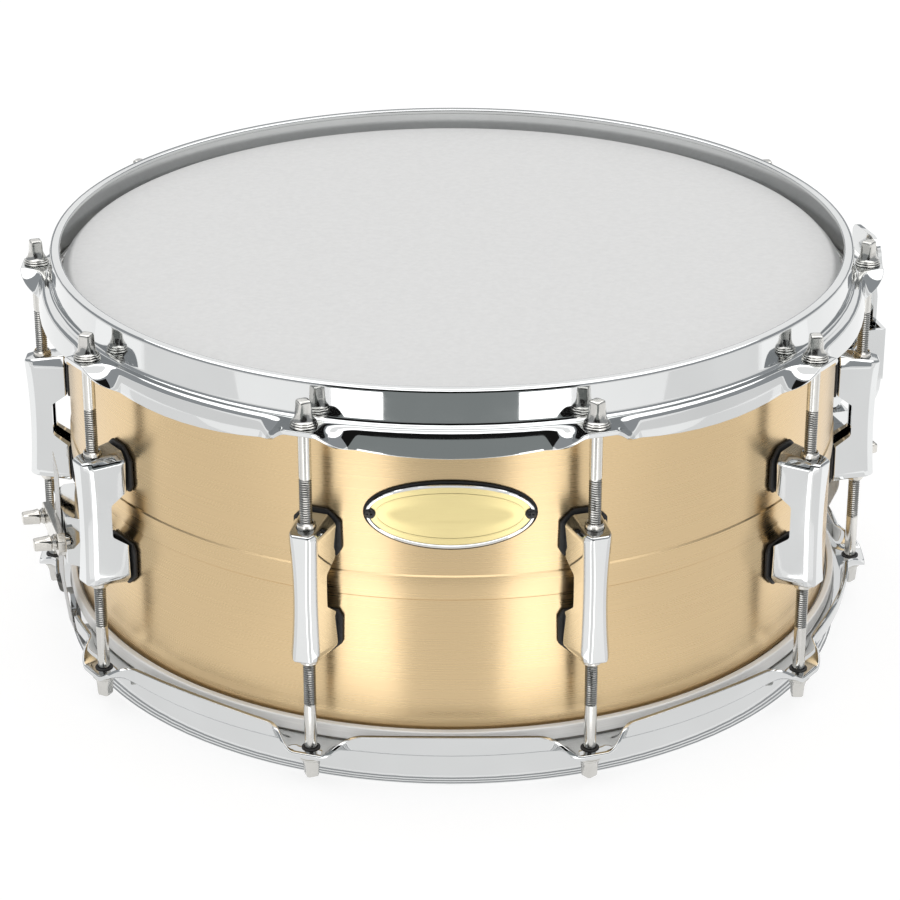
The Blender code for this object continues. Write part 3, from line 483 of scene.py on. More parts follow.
def cut(obj, cutter, sharp=SHARP):
    """Takes the cutter away from the object's mesh and deletes the cutter."""
    modifier = obj.modifiers.new("cut", "BOOLEAN")
    modifier.operation = "DIFFERENCE"
    modifier.solver = "EXACT"
    modifier.object = cutter
    graph = bpy.context.evaluated_depsgraph_get()
    result = bpy.data.meshes.new_from_object(obj.evaluated_get(graph))
    obj.modifiers.remove(modifier)
    obj.data = result
    result.shade_smooth()
    result.set_sharp_from_angle(angle=radians(sharp))
    bpy.data.objects.remove(cutter)


def take_mesh(obj):
    mesh = obj.data
    bpy.data.objects.remove(obj)
    return mesh


def piece(name, bm, finish, sharp=SHARP, matrix=None):
    return show(name, mesh_from(name, bm, finish, sharp), matrix)


def lofted(name, rings, finish, sharp=SHARP, matrix=None, closed=False):
    bm = bmesh.new()
    skin(bm, rings, closed)
    return piece(name, bm, finish, sharp, matrix)


# Materials, whose patterns have a scale, a detail and a stretch and whose ranges go from low to high

LOOKS = {
    "brushed_brass": dict(
        colour=(0.74, 0.555, 0.32), metallic=1.0, roughness=0.28, brushed=0.50, rough=(0.26, 0.31),
        tint=(0.97, 1.02), grain=(1.0, 2.0, (14.0, 14.0, 2600.0)), relief=(0.012, 0.00005)),
    "chrome": dict(
        colour=(0.74, 0.75, 0.75), metallic=1.0, roughness=0.05, rough=(0.03, 0.07), tint=(0.97, 1.02),
        grain=(90.0, 4.0), tint_grain=(25.0, 2.0), relief_grain=(60.0, 1.0), relief=(0.02, 0.0004)),
    # The rod's thread is darker in its grooves: painted shade
    "rod_chrome": dict(
        colour=(0.70, 0.69, 0.66), metallic=1.0, roughness=0.20, rough=(0.16, 0.24), tint=(0.95, 1.03),
        grain=(400.0, 4.0), tint_grain=(120.0, 2.0), groove_shade=0.42, relief=(0.03, 0.00004)),
    "steel": dict(
        colour=(0.70, 0.68, 0.64), metallic=1.0, roughness=0.18, rough=(0.13, 0.24), tint=(0.93, 1.04),
        grain=(1.0, 3.0, (300.0, 300.0, 2200.0)), tint_grain=(180.0, 3.0), relief=(0.05, 0.00004)),
    "aluminium": dict(
        colour=(0.93, 0.92, 0.90), metallic=0.15, roughness=0.45, rough=(0.40, 0.52), tint=(0.95, 1.04),
        grain=(1.0, 3.0, (20.0, 20.0, 1800.0)), relief=(0.06, 0.00005)),
    "coated_film": dict(
        colour=(0.735, 0.735, 0.73), specular=0.25, roughness=0.72, rough=(0.62, 0.82), tint=(0.965, 1.02),
        grain=(1400.0, 4.0), tint_grain=(420.0, 5.0), relief=(0.25, 0.00012)),
    "clear_film": dict(
        colour=(0.78, 0.79, 0.79), alpha=0.42, roughness=0.22, rough=(0.18, 0.32), tint=(0.95, 1.03),
        grain=(160.0, 4.0), relief_grain=(900.0, 2.0), relief=(0.05, 0.00005)),
    "black_rubber": dict(
        colour=(0.016, 0.016, 0.017), roughness=0.55, rough=(0.45, 0.65), tint=(0.8, 1.3),
        grain=(1500.0, 3.0), tint_grain=(200.0, 2.0), relief=(0.2, 0.00006)),
    "gold_plate": dict(
        colour=(1.0, 0.84, 0.42), metallic=1.0, roughness=0.36, rough=(0.34, 0.38), tint=(0.985, 1.015),
        grain=(1.0, 3.0, (60.0, 60.0, 2400.0)), relief=(0.02, 0.00003)),
    "black_steel": dict(
        colour=(0.022, 0.022, 0.023), roughness=0.34, rough=(0.26, 0.42), tint=(0.8, 1.4),
        grain=(700.0, 3.0), relief=(0.1, 0.00005)),
    "white_plastic": dict(
        colour=(0.78, 0.78, 0.765), roughness=0.42, rough=(0.36, 0.50), tint=(0.97, 1.02),
        grain=(300.0, 3.0), tint_grain=(80.0, 2.0), relief=(0.08, 0.00005)),
}
# Share of a turn from along the brushed grooves to across them
BRUSH_TURN = 0.25
# Most of a noise pattern's values lie between these two
NOISE_LOW = 0.3
NOISE_HIGH = 0.7


def fill(node, values):
    """Sets a node's inputs to plain values, or links them to other nodes' outputs."""
    for socket, value in values.items():
        if isinstance(value, bpy.types.NodeSocket):
            node.id_data.links.new(value, node.inputs[socket])
        else:
            node.inputs[socket].default_value = value
    return node


def add_node(tree, kind, values):
    return fill(tree.nodes.new("ShaderNode" + kind), values)


def noise(tree, scale, detail, stretch=(1.0, 1.0, 1.0)):
    """A noise pattern in the object's own metres."""
    coords = tree.nodes.new("ShaderNodeTexCoord").outputs["Object"]
    vector = add_node(tree, "Mapping", {"Vector": coords, "Scale": stretch}).outputs["Vector"]
    return add_node(tree, "TexNoise", {"Vector": vector, "Scale": scale, "Detail": detail}).outputs["Fac"]


def spread(tree, source, low, high):
    """The middle of a noise pattern stretched over a range of values."""
    node = add_node(tree, "MapRange", {
        "Value": source, "From Min": NOISE_LOW, "From Max": NOISE_HIGH, "To Min": low, "To Max": high})
    return node.outputs["Result"]


def tinted(tree, source, colour, low, high):
    """The colour from low times itself to high times itself."""
    ramp = add_node(tree, "ValToRGB", {"Fac": source})
    for index, position, factor in ((0, NOISE_LOW, low), (1, NOISE_HIGH, high)):
        element = ramp.color_ramp.elements[index]
        element.position = position
        element.color = (*[min(1.0, factor * part) for part in colour], 1.0)
    return ramp.outputs["Color"]


def shade_grooves(tree, shade, colour):
    """The given colour, or a darker colour painted as shade in the places that a mesh marks with its groove
    attribute.
    """
    mark = tree.nodes.new("ShaderNodeAttribute")
    mark.attribute_name = "groove"
    mix = tree.nodes.new("ShaderNodeMix")
    mix.data_type = "RGBA"
    fill(mix, {"A": shade, "B": (*colour, 1.0), "Factor": mark.outputs["Fac"]})
    return mix.outputs["Result"]


def brush_round(tree, shader, amount):
    """Grooves round the drum's axis, so that highlights stretch up and down."""
    tangent = tree.nodes.new("ShaderNodeTangent")
    tangent.direction_type = "RADIAL"
    tangent.axis = "Z"
    fill(shader, {"Tangent": tangent.outputs["Tangent"], "Anisotropic": amount,
                  "Anisotropic Rotation": BRUSH_TURN})


def new_material(name):
    material = bpy.data.materials.new(name)
    material.use_nodes = True
    return material, material.node_tree


def make_finish(name, colour, roughness, rough, tint, grain, relief, metallic=0.0, specular=0.5, alpha=1.0,
                tint_grain=None, relief_grain=None, brushed=0.0, groove_shade=0.0):
    """A material with patterns in its roughness, its colour and its relief, and with painted shade in the
    grooves that a mesh marks.
    """
    material, tree = new_material(name)
    shader = fill(tree.nodes["Principled BSDF"], {
        "Base Color": (*colour, 1.0), "Metallic": metallic, "Roughness": roughness,
        "Specular IOR Level": specular, "Alpha": alpha})
    shade = tinted(tree, noise(tree, *(tint_grain or grain)), colour, *tint)
    # Painted shade, a share of the colour, in the grooves that a mesh marks
    if groove_shade:
        shade = shade_grooves(tree, shade, [groove_shade * part for part in colour])
    strength, distance = relief
    height = noise(tree, *(relief_grain or grain))
    bump = add_node(tree, "Bump", {"Strength": strength, "Distance": distance, "Height": height})
    dullness = spread(tree, noise(tree, *grain), *rough)
    fill(shader, {"Base Color": shade, "Roughness": dullness, "Normal": bump.outputs["Normal"]})
    if brushed:
        brush_round(tree, shader, brushed)
    return material


def glow(name, colour, strength):
    material, tree = new_material(name)
    tree.nodes.remove(tree.nodes["Principled BSDF"])
    emission = add_node(tree, "Emission", {"Color": (*colour, 1.0), "Strength": strength})
    fill(tree.nodes["Material Output"], {"Surface": emission.outputs["Emission"]})
    return material


def floor_material():
    """White to the camera and in reflections, with the drum's soft shadow kept on it."""
    material, tree = new_material("studio_floor")
    tree.nodes.remove(tree.nodes["Principled BSDF"])
    diffuse = add_node(tree, "BsdfDiffuse", {"Color": FLOOR_COLOUR})
    path = tree.nodes.new("ShaderNodeLightPath")
    seen = path.outputs["Is Camera Ray"]
    for other in ("Is Glossy Ray", "Is Transmission Ray"):
        either = add_node(tree, "Math", {0: seen, 1: path.outputs[other]})
        either.operation = "MAXIMUM"
        seen = either.outputs["Value"]
    level = add_node(tree, "Math", {0: seen, 1: FLOOR_EMISSION})
    level.operation = "MULTIPLY"
    emission = add_node(tree, "Emission", {"Strength": level.outputs["Value"]})
    both = add_node(tree, "AddShader", {0: diffuse.outputs["BSDF"], 1: emission.outputs["Emission"]})
    fill(tree.nodes["Material Output"], {"Surface": both.outputs["Shader"]})
    return material


MATERIALS = {name: make_finish(name, **look) for name, look in LOOKS.items()}
MATERIALS |= {name: glow(name + "_card", *light) for name, light in CARD_LIGHTS.items()}
MATERIALS["floor"] = floor_material()


# Shell, heads and flesh hoops

def make_shell():
    """A thin rolled wall with turned-in bearing edges and a bead pressed out round its middle."""
    outer = [(SHELL_RADIUS - inset, SHELL_HEIGHT - drop) for inset, drop in BEARING_EDGE]
    outer += [(SHELL_RADIUS, BEAD_HALF + BEAD_MARGIN), (SHELL_RADIUS, BEAD_HALF)]
    reach = BEAD_HALF - BEAD_SLOPE
    for step in range(BEAD_STEPS + 1):
        height = reach * (1 - step / BEAD_STEPS)
        outer.append((SHELL_RADIUS + BEAD_LIFT + BEAD_CROWN * (1 - (height / reach) ** 2), height))
    outer += [(radius, -height) for radius, height in reversed(outer[:-1])]
    inner = [(radius - SHELL_WALL, height * (1 - SHELL_WALL / SHELL_HEIGHT)) for radius, height in outer]
    bm = bmesh.new()
    revolve(bm, outer + inner[::-1], DRUM_STEPS, centre=DRUM_CENTRE)
    dress(piece("drum_shell", bm, "brushed_brass", SHELL_SHARP), "drum", "brushed_brass", "shell")


def make_head(name, side, finish):
    """A film that is flat over the shell and bends down at its edge into a collar."""
    inner = COLLAR_RADIUS - FILM
    corners = [
        (0.0, HEAD_TOP, 0.0), (HEAD_FLAT, HEAD_TOP, HEAD_ROUND), (COLLAR_RADIUS, COLLAR_TOP, HEAD_ROUND),
        (COLLAR_RADIUS, COLLAR_LOW, 0.0), (inner, COLLAR_LOW, 0.0),
        (inner, COLLAR_TOP - COLLAR_INSET, HEAD_ROUND),
        (HEAD_FLAT - COLLAR_INSET, HEAD_TOP - FILM, HEAD_ROUND), (0.0, HEAD_TOP - FILM, 0.0),
    ]
    outline = [(point.x, side * point.y) for point in rounded(corners, HEAD_STEPS)]
    bm = bmesh.new()
    revolve(bm, outline, DRUM_STEPS, closed=False, centre=DRUM_CENTRE)
    dress(piece(name + "_film", bm, finish), "drum", finish, name)


def make_flesh_hoop(name, side):
    corners = rounded_box(FLESH_RADIUS, FLESH_OUTER, FLESH_LOW, FLESH_TOP, *FLESH_ROUNDS)
    bm = bmesh.new()
    revolve(bm, [(point.x, side * point.y) for point in corners], DRUM_STEPS, centre=DRUM_CENTRE)
    dress(piece(name + "_ring", bm, "aluminium"), "drum", "aluminium", name)


# Hoops

def skirt_path(sweep, skirt):
    """Points out along the flange's upper face, round its tip and back along its underside."""
    length = EAR_LENGTH + (skirt - EAR_LENGTH) * sweep
    spare = SKIRT_BEND - SHOULDER_BEND
    runs = [(SHOULDER_LENGTH / SHOULDER_STEPS, SHOULDER_BEND * (step + 0.5) / SHOULDER_STEPS)
            for step in range(SHOULDER_STEPS)]
    runs += [(length / SKIRT_STEPS, SHOULDER_BEND + spare * (step + 0.5) / SKIRT_STEPS)
             for step in range(SKIRT_STEPS)]
    point = Vector((RIM_RADIUS + RIM_WIDTH + WALL_FILLET, EAR_HEIGHT))
    upper = [(point.copy(), 0.0)]
    for run, bend in runs:
        along = Vector((cos(bend * sweep), -sin(bend * sweep)))
        point = point + along * run
        upper.append((point.copy(), bend * sweep))
    last, bend = upper.pop()
    along = Vector((cos(bend), -sin(bend)))
    under = Vector((-sin(bend), -cos(bend)))
    tip = [last + along * out + under * down for out, down in SKIRT_TIP]
    top = [spot for spot, _ in upper]
    below = [spot + Vector((-sin(turn), -cos(turn))) * SHEET for spot, turn in upper]
    return top + tip + below[::-1]


def hoop_section(sweep, skirt):
    """The hoop's closed outline, with its flange flat in an ear at 0 and folded down at 1."""
    outer = RIM_RADIUS + RIM_WIDTH
    inner = outer - SHEET
    corners = [
        (RIM_RADIUS, RIM_HEIGHT - SHEET, LIP_ROUNDS[0]), (RIM_RADIUS, RIM_HEIGHT, LIP_ROUNDS[1]),
        (outer, RIM_HEIGHT, RIM_ROUND), (outer, EAR_HEIGHT, WALL_FILLET * FILLET_SHARE),
    ]
    corners += [(point.x, point.y, 0.0) for point in skirt_path(sweep, skirt)]
    corners += [(inner, EAR_HEIGHT - SHEET, WALL_ROUNDS[0]), (inner, RIM_HEIGHT - SHEET, WALL_ROUNDS[1])]
    return rounded(corners)


def skirt_length(name, along):
    """Length of the skirt at a distance from the nearest rod, longest half way between two rods."""
    share = 1 - along / HALF_STEP
    return SKIRT_LENGTHS[name] - SKIRT_CRESCENT * share * share


def sweep_at(along):
    """How far the flange is folded at a distance from the nearest rod, from 0 to 1."""
    share = min(1.0, max(0.0, (along - EAR_HALF) / EAR_SWEEP))
    return share * share * (3 - 2 * share)


def hoop_offsets():
    """Distances from a rod along the hoop, close together where the flange folds."""
    fold = [EAR_HALF + EAR_SWEEP * step / FOLD_STEPS for step in range(1, FOLD_STEPS + 1)]
    positive = [*EAR_OFFSETS, *fold, *SKIRT_OFFSETS]
    return sorted({-value for value in positive} | set(positive)) + [HALF_STEP]


def make_hoop(name, side):
    rings = []
    for angle in sorted(LUG_ANGLES.values()):
        for along in hoop_offsets():
            turn = radians(angle) + along / ROD_CIRCLE
            section = hoop_section(sweep_at(abs(along)), skirt_length(name, abs(along)))
            rings.append([polar(turn, point.x, MIDDLE + side * point.y) for point in section])
    hoop = lofted(name + "_metal", rings, "chrome", HOOP_SHARP, closed=True)
    holes = bmesh.new()
    for angle in LUG_ANGLES.values():
        cylinder(holes, EAR_HOLE, HOLE_DEPTH, place(angle, ROD_CIRCLE, side * EAR_HEIGHT), HOLE_STEPS)
    cut(hoop, piece("ear_holes", holes, "chrome"), HOOP_SHARP)
    return hoop


def gate_cutter(angle):
    """A bar with rounded corners through the snare side hoop's wall, clear of its rim."""
    outline = rounded_box(-GATE_HALF, GATE_HALF, *GATE_HEIGHTS, GATE_ROUND, GATE_ROUND)
    rings = [[(point.x, -depth, point.y) for point in outline] for depth in GATE_DEPTHS]
    return lofted("gate", rings, "chrome", matrix=about_axis(angle))


def make_grommets():
    """Black bushings in the ears of the snare side hoop, on the side that faces the lugs."""
    bm = bmesh.new()
    for angle in LUG_ANGLES.values():
        revolve(bm, GROMMET_OUTLINE, HOLE_STEPS, centre=place(angle, ROD_CIRCLE, SHEET - EAR_HEIGHT))
    dress(piece("ear_grommets", bm, "black_rubber"), "drum", "black_rubber")


def make_hoops():
    dress(make_hoop("batter_hoop", 1), "drum", "chrome", "batter_hoop")
    snare_side = make_hoop("snare_hoop", -1)
    for angle in STATIONS.values():
        cut(snare_side, gate_cutter(angle), HOOP_SHARP)
    dress(snare_side, "drum", "chrome", "snare_hoop")
    make_grommets()


# Tension rods

def square_ring(radius, power, height, points=KEY_POINTS):
    """A ring that is round at power 2 and a rounded square at higher powers."""
    ring = []
    for step in range(points):
        turn = 2 * pi * (step + 0.5) / points
        across, up = cos(turn), sin(turn)
        size = radius / (abs(across) ** power + abs(up) ** power) ** (1 / power)
        ring.append(Vector((size * across, size * up, height)))
    return ring


def key_head(bm, flange, base, top, half):
    """A skirt that narrows to a square for a drum key, rounded at its end."""
    levels = [(flange * share, ROUND, base + rise) for share, rise in KEY_FLANGE]
    levels += [(half * share, power, base + rise) for share, power, rise in KEY_FLARE]
    levels += [(half * share, power, top - drop) for share, power, drop in KEY_END]
    skin(bm, [square_ring(*level) for level in levels])


def washer(bm, radius, bore, low, high):
    edge = radius - WASHER_EDGE
    outline = [(bore, low), (edge, low), (radius, low + WASHER_EDGE), (radius, high - WASHER_EDGE),
               (edge, high), (bore, high)]
    revolve(bm, outline, WASHER_STEPS)


def mark_grooves(mesh):
    # How deep each point lies in the thread, which sets the painted shade in its grooves
    mark = mesh.attributes.new("groove", "FLOAT", "POINT")
    for vertex in mesh.vertices:
        if THREAD_END < vertex.co.z < THREAD_START:
            reach = hypot(vertex.co.x, vertex.co.y)
            depth = (ROD_RADIUS + THREAD_CREST - reach) / THREAD_DEPTH
            mark.data[vertex.index].value = min(1.0, max(0.0, depth))


def shank_ring(radius, height):
    return square_ring(radius, ROUND, height, THREAD_POINTS)


def threaded_shank(bm):
    """A smooth shank from the origin down, then a real thread and a plain end."""
    levels = [shank_ring(ROD_RADIUS, 0.0), shank_ring(ROD_RADIUS, THREAD_START + THREAD_LEAD)]
    steps = round((THREAD_START - THREAD_END) / THREAD_PITCH * THREAD_RINGS)
    for step in range(steps + 1):
        height = THREAD_START + (THREAD_END - THREAD_START) * step / steps
        ring = []
        for point in shank_ring(1.0, height):
            phase = (height / THREAD_PITCH + atan2(point.y, point.x) / (2 * pi)) % 1.0
            size = ROD_RADIUS + THREAD_CREST - THREAD_DEPTH * (1.0 - abs(2.0 * phase - 1.0))
            ring.append((point.x * size, point.y * size, height))
        levels.append(ring)
    core = ROD_RADIUS - THREAD_DEPTH
    levels += [shank_ring(core, THREAD_END - THREAD_TAIL), shank_ring(core, ROD_END - ROD_LENGTH),
               shank_ring(core * ROD_END_SHARE, -ROD_LENGTH)]
    skin(bm, levels[::-1])


def rod_mesh():
    """A rod with its head up, its washers and its ear's face at the origin."""
    bm = bmesh.new()
    for radius, low, high in ROD_WASHERS:
        washer(bm, radius, ROD_RADIUS + ROD_CLEARANCE, low, high)
    key_head(bm, **ROD_HEAD)
    threaded_shank(bm)
    mesh = mesh_from("tension_rod", bm, "rod_chrome", SCREW_SHARP)
    mark_grooves(mesh)
    return mesh


def make_rods():
    mesh = rod_mesh()
    upside_down = Matrix.Rotation(pi, 4, "X")
    for index, (number, angle) in enumerate(LUG_ANGLES.items()):
        for kind, side in (("batter", 1), ("snare", -1)):
            node = f"{kind}_rod_{number}"
            spin = about_axis(ROD_TWIST * (index + side))
            matrix = Matrix.Translation(place(angle, ROD_CIRCLE, side * EAR_HEIGHT)) @ spin
            if side < 0:
                matrix = matrix @ upside_down
            dress(show(node + "_bolt", mesh, matrix), node, "chrome", node)


# Lugs

def lug_limit(height):
    """Greatest half width of the lug at a height, less at its ends where the corners are cut off."""
    (start, wide), (end, narrow) = LUG_TRIM
    share = min(1.0, max(0.0, (abs(height) - start) / (end - start)))
    return wide + (narrow - wide) * share


def lug_ring(height):
    """The casting's outline at a height, which slopes near the ends so that its back reaches further."""
    share = abs(height) / LUG_HALF
    front = LUG_FRONT - LUG_CONCAVE * (1 - share ** 2)
    half = LUG_WAIST_HALF + (LUG_END_HALF - LUG_WAIST_HALF) * share ** 2
    side = [(half + flare, depth) for flare, depth in LUG_FLARE]
    side += [(half, front - LUG_CHAMFER[1]), (half - LUG_CHAMFER[0], front)]
    side = [(min(across, lug_limit(height)), depth) for across, depth in side]
    rise = max(0.0, (abs(height) - SCOOP_MOUTH) / (LUG_HALF - SCOOP_MOUTH)) ** 2 * LUG_RISE
    ring = []
    for across, depth in side + [(-across, depth) for across, depth in reversed(side)]:
        lift = rise * (front - depth) / (front - LUG_BACK)
        ring.append((across, -depth, copysign(abs(height) + lift, height)))
    return ring


def lug_mesh():
    heights = LUG_LEVELS + [0.0] + [-height for height in reversed(LUG_LEVELS)]
    bm = bmesh.new()
    skin(bm, [lug_ring(height) for height in heights])
    soften(bm, LUG_ROUND, LUG_ROUND_ANGLE, LUG_ROUND_STEPS)
    lug = piece("lug_blank", bm, "chrome")
    for cutter in (lug_scoop(), lug_hollow(), lug_bore()):
        cut(lug, cutter, LUG_SHARP)
    return take_mesh(lug)


def lug_scoop():
    """What is taken out right across the casting between its two feet."""
    mouth = SCOOP_MOUTH + SCOOP_SPREAD
    corners = [(CUT_BACK, mouth, 0.0), (SCOOP_DEPTH, SCOOP_FLOOR, SCOOP_ROUND),
               (SCOOP_DEPTH, -SCOOP_FLOOR, SCOOP_ROUND), (CUT_BACK, -mouth, 0.0)]
    rings = [[(across, -point.x, point.y) for point in rounded(corners)] for across in (-CUT_HALF, CUT_HALF)]
    return lofted("lug_scoop", rings, "chrome")


def lug_hollow():
    """What is taken out of the casting from its back, rounded where it ends inside."""
    half, reach = HOLLOW_HALF
    outline = rounded_box(-half, half, -reach, reach, HOLLOW_ROUND, HOLLOW_ROUND)
    levels = [(CUT_BACK, 1.0), (HOLLOW_FRONT - HOLLOW_END, 1.0), (HOLLOW_FRONT, HOLLOW_END_SHARE)]
    rings = [[(point.x * size, -depth, point.y) for point in outline] for depth, size in levels]
    return lofted("lug_hollow", rings, "chrome")


def lug_bore():
    """What is taken out of the casting for the two swivel nuts and the rods that turn in them."""
    bm = bmesh.new()
    cylinder(bm, NUT_RADIUS + NUT_CLEARANCE, BORE_LENGTH, (0, -ROD_CIRCLE, 0), NUT_STEPS)
    return piece("lug_bore", bm, "chrome")


def nut_mesh():
    """The swivel nuts that show at the lug's two ends."""
    inset, drop = NUT_BEVEL
    outline = [(NUT_BORE, NUT_LOW), (NUT_RADIUS, NUT_LOW), (NUT_RADIUS, NUT_TOP - drop),
               (NUT_RADIUS - inset, NUT_TOP), (NUT_BORE + NUT_BORE_BEVEL, NUT_TOP),
               (NUT_BORE, NUT_TOP - NUT_BORE_BEVEL)]
    bm = bmesh.new()
    for side in (1, -1):
        turned = [(radius, side * height) for radius, height in outline]
        revolve(bm, turned, NUT_STEPS, centre=Vector((0, -ROD_CIRCLE, 0)))
    return mesh_from("swivel_nuts", bm, "steel")


def gasket_mesh():
    """A thin black pad under each of the lug's two feet, bent to the shell."""
    outline = [(-across, height) for across, height in GASKET_OUTLINE]
    outline += [(across, height) for across, height in reversed(GASKET_OUTLINE)]
    bm = bmesh.new()
    for side in (1, -1):
        skin(bm, [[bent(across, radius, side * height) for across, height in outline]
                  for radius in GASKET_RADII])
    soften(bm, GASKET_ROUND, GASKET_ROUND_ANGLE)
    return mesh_from("lug_gasket", bm, "black_rubber")


def make_lugs():
    casting, nuts, gasket = lug_mesh(), nut_mesh(), gasket_mesh()
    lift = Matrix.Translation(DRUM_CENTRE)
    for number, angle in LUG_ANGLES.items():
        matrix = lift @ about_axis(angle)
        dress(show("lug_casting_" + number, casting, matrix), "drum", "chrome", "lug_" + number)
        dress(show("lug_nuts_" + number, nuts, matrix), "drum", "steel")
        dress(show("lug_gasket_" + number, gasket, matrix), "drum", "black_rubber")


# Badge

def oval_ring(inset, radius):
    """An oval set in from the badge's edge by a distance and bent to a radius about the drum's axis."""
    ring = []
    for step in range(BADGE_POINTS):
        turn = 2 * pi * step / BADGE_POINTS
        across = (BADGE_HALF[0] - inset) * cos(turn)
        up = (BADGE_HALF[1] - inset) * sin(turn)
        ring.append(bent(across, radius, MIDDLE + BADGE_HEIGHT + up))
    return ring


def oval_piece(name, levels, finish, *nodes, closed=False):
    """A plate through ovals, or a rim round an opening where the ovals close up."""
    rings = [oval_ring(inset, radius) for inset, radius in levels]
    dress(lofted(name, rings, finish, BADGE_SHARP, closed=closed), "drum", finish, *nodes)


def badge_screw_mesh():
    """A low domed screw with a cross recess, seated at its origin and facing up."""
    bm = bmesh.new()
    revolve(bm, BADGE_SCREW, BADGE_SCREW_STEPS, closed=False)
    screw = piece("badge_screw_blank", bm, "black_steel")
    lift = Matrix.Translation((0, 0, CROSS_HEIGHT))
    for size in CROSS_BARS:
        bar = bmesh.new()
        bmesh.ops.create_cube(bar, size=1.0, matrix=lift @ Matrix.Diagonal((*size, 1)))
        cut(screw, piece("cross", bar, "black_steel"))
    return take_mesh(screw)


def make_badge():
    oval_piece("badge_pad", BADGE_PAD, "black_rubber", "badge_gasket")
    oval_piece("badge_rim", BADGE_RIM, "chrome", closed=True)
    oval_piece("badge_field", BADGE_FIELD, "gold_plate", "badge_plate")
    mesh = badge_screw_mesh()
    for label, side in SIDES:
        angle = degrees(asin(side * BADGE_SCREW_ACROSS / BADGE_FACE))
        seat = Matrix.Translation(place(angle, BADGE_SCREW_SEAT, BADGE_HEIGHT))
        matrix = seat @ about_axis(angle) @ FACE_OUT
        node = "badge_screw_" + label
        dress(show(node + "_head", mesh, matrix), "drum", "black_steel", node)


# Snare wires and straps

def coil(bm, across, low, high, height):
    """One strand: a fine wire wound along Y."""
    turns = (high - low) / COIL_PITCH
    steps = round(turns * COIL_STEPS)
    reach = STRAND_RADIUS - WIRE_RADIUS
    lead = Vector((0, 1, 0)) * WIRE_RADIUS * WIRE_STRETCH
    rings = []
    for step in range(steps + 1):
        turn = 2 * pi * turns * step / steps
        outward = Vector((cos(turn), 0, sin(turn)))
        centre = Vector((across, low + (high - low) * step / steps, height)) + outward * reach
        rings.append([centre + outward * WIRE_RADIUS * cos(spin) + lead * sin(spin)
                      for spin in (0.0, pi / 2, pi, 1.5 * pi)])
    skin(bm, rings)


def make_wires():
    """Coiled strands between two end plates, in line with the butt and the strainer."""
    low, high = lowest("snare_wires"), highest("snare_wires")
    width = STRAND_PITCH * (STRAND_COUNT - 1)
    ends = WIRES_HALF - END_PLATE
    reach = ends + STRAND_TUCK
    turn = about_axis(STATIONS["strainer"])
    bm = bmesh.new()
    for number in range(STRAND_COUNT):
        coil(bm, number * STRAND_PITCH - width / 2, -reach, reach, (low + high) / 2)
    dress(piece("snare_strands", bm, "steel", STRAND_SHARP, turn), "drum", "steel", "snare_wires")
    half = width / 2 + STRAND_RADIUS
    outline = rounded_box(-half, half, ends, WIRES_HALF, *END_PLATE_ROUNDS)
    plates = bmesh.new()
    for side in (1, -1):
        skin(plates, [[(point.x, side * point.y, level) for point in outline] for level in (low, high)])
    soften(plates, END_PLATE_EDGE)
    dress(piece("snare_end_plates", plates, "steel", matrix=turn), "drum", "steel")


def strap_path(upright, straight, top):
    """The strip's middle line, from under the wires' end plate out and up to its tip."""
    low = lowest("snare_wires") - STRAP_GAP - STRAP_THICKNESS / 2
    corners = [
        (WIRES_HALF - STRAP_TUCK, low, 0.0), (FLESH_OUTER, low, STRAP_ROUNDS[0]),
        ((FLESH_OUTER + upright) / 2, low + STRAP_RISE, STRAP_ROUNDS[1]),
        (upright, straight, STRAP_ROUNDS[2]), (upright, top, 0.0),
    ]
    return rounded(corners, STRAP_STEPS)


def strap_strip(name, path, angle):
    """A flexible strip along the path with a slanted tip, turned to an angle about the drum's axis."""
    rings = []
    for index, point in enumerate(path):
        before = path[max(0, index - 1)]
        after = path[min(len(path) - 1, index + 1)]
        along = (after - before).normalized()
        normal = Vector((along.y, -along.x)) * STRAP_THICKNESS / 2
        tilt = STRAP_SLANT if index == len(path) - 1 else 0.0
        ring = []
        for across, face in STRAP_SECTION:
            spot = point + normal * face
            ring.append((across * STRAP_WIDTH / 2, -spot.x, spot.y + tilt * across))
        rings.append(ring)
    return lofted(name, rings, "white_plastic", matrix=about_axis(angle))


def make_straps():
    """A strap on each side; the butt's one rides on the drum and the strainer's one is baked in place."""
    for kind, angle in STATIONS.items():
        node = kind + "_strap"
        clamp = kind + "_clamp_plate"
        clamp_z = (lowest(clamp) + highest(clamp)) / 2
        upright = STRAP_BACKS[kind] + STRAP_GAP + STRAP_THICKNESS / 2
        path = strap_path(upright, clamp_z - STRAP_STRAIGHT_DROP, highest(node) - STRAP_TIP_DROP)
        strap = strap_strip(node + "_strip", path, angle)
        if kind == "butt":
            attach(strap, "drum")
        else:
            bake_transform(strap)
        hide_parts(node)


# Butt and strainer

def refine(node, body, finish, width):
    """A copy of a CAD solid with its edges rounded, in place of the node."""
    bm = bmesh.new()
    bm.from_mesh(frame["nodes"][node].data)
    bmesh.ops.remove_doubles(bm, verts=bm.verts, dist=MERGE_DISTANCE)
    bmesh.ops.dissolve_limit(bm, angle_limit=radians(FLAT_ANGLE), verts=bm.verts, edges=bm.edges)
    soften(bm, width, CAST_ROUND_ANGLE)
    dress(piece(node + "_cast", bm, finish, CAST_SHARP), body, finish, node)


def clamp_screw_mesh():
    """A key screw with its washer, seated at its origin and facing up."""
    bm = bmesh.new()
    washer(bm, **CLAMP_WASHER)
    key_head(bm, **CLAMP_HEAD)
    revolve(bm, CLAMP_SHANK, SHANK_STEPS, closed=False)
    return mesh_from("clamp_screw", bm, "steel", SCREW_SHARP)


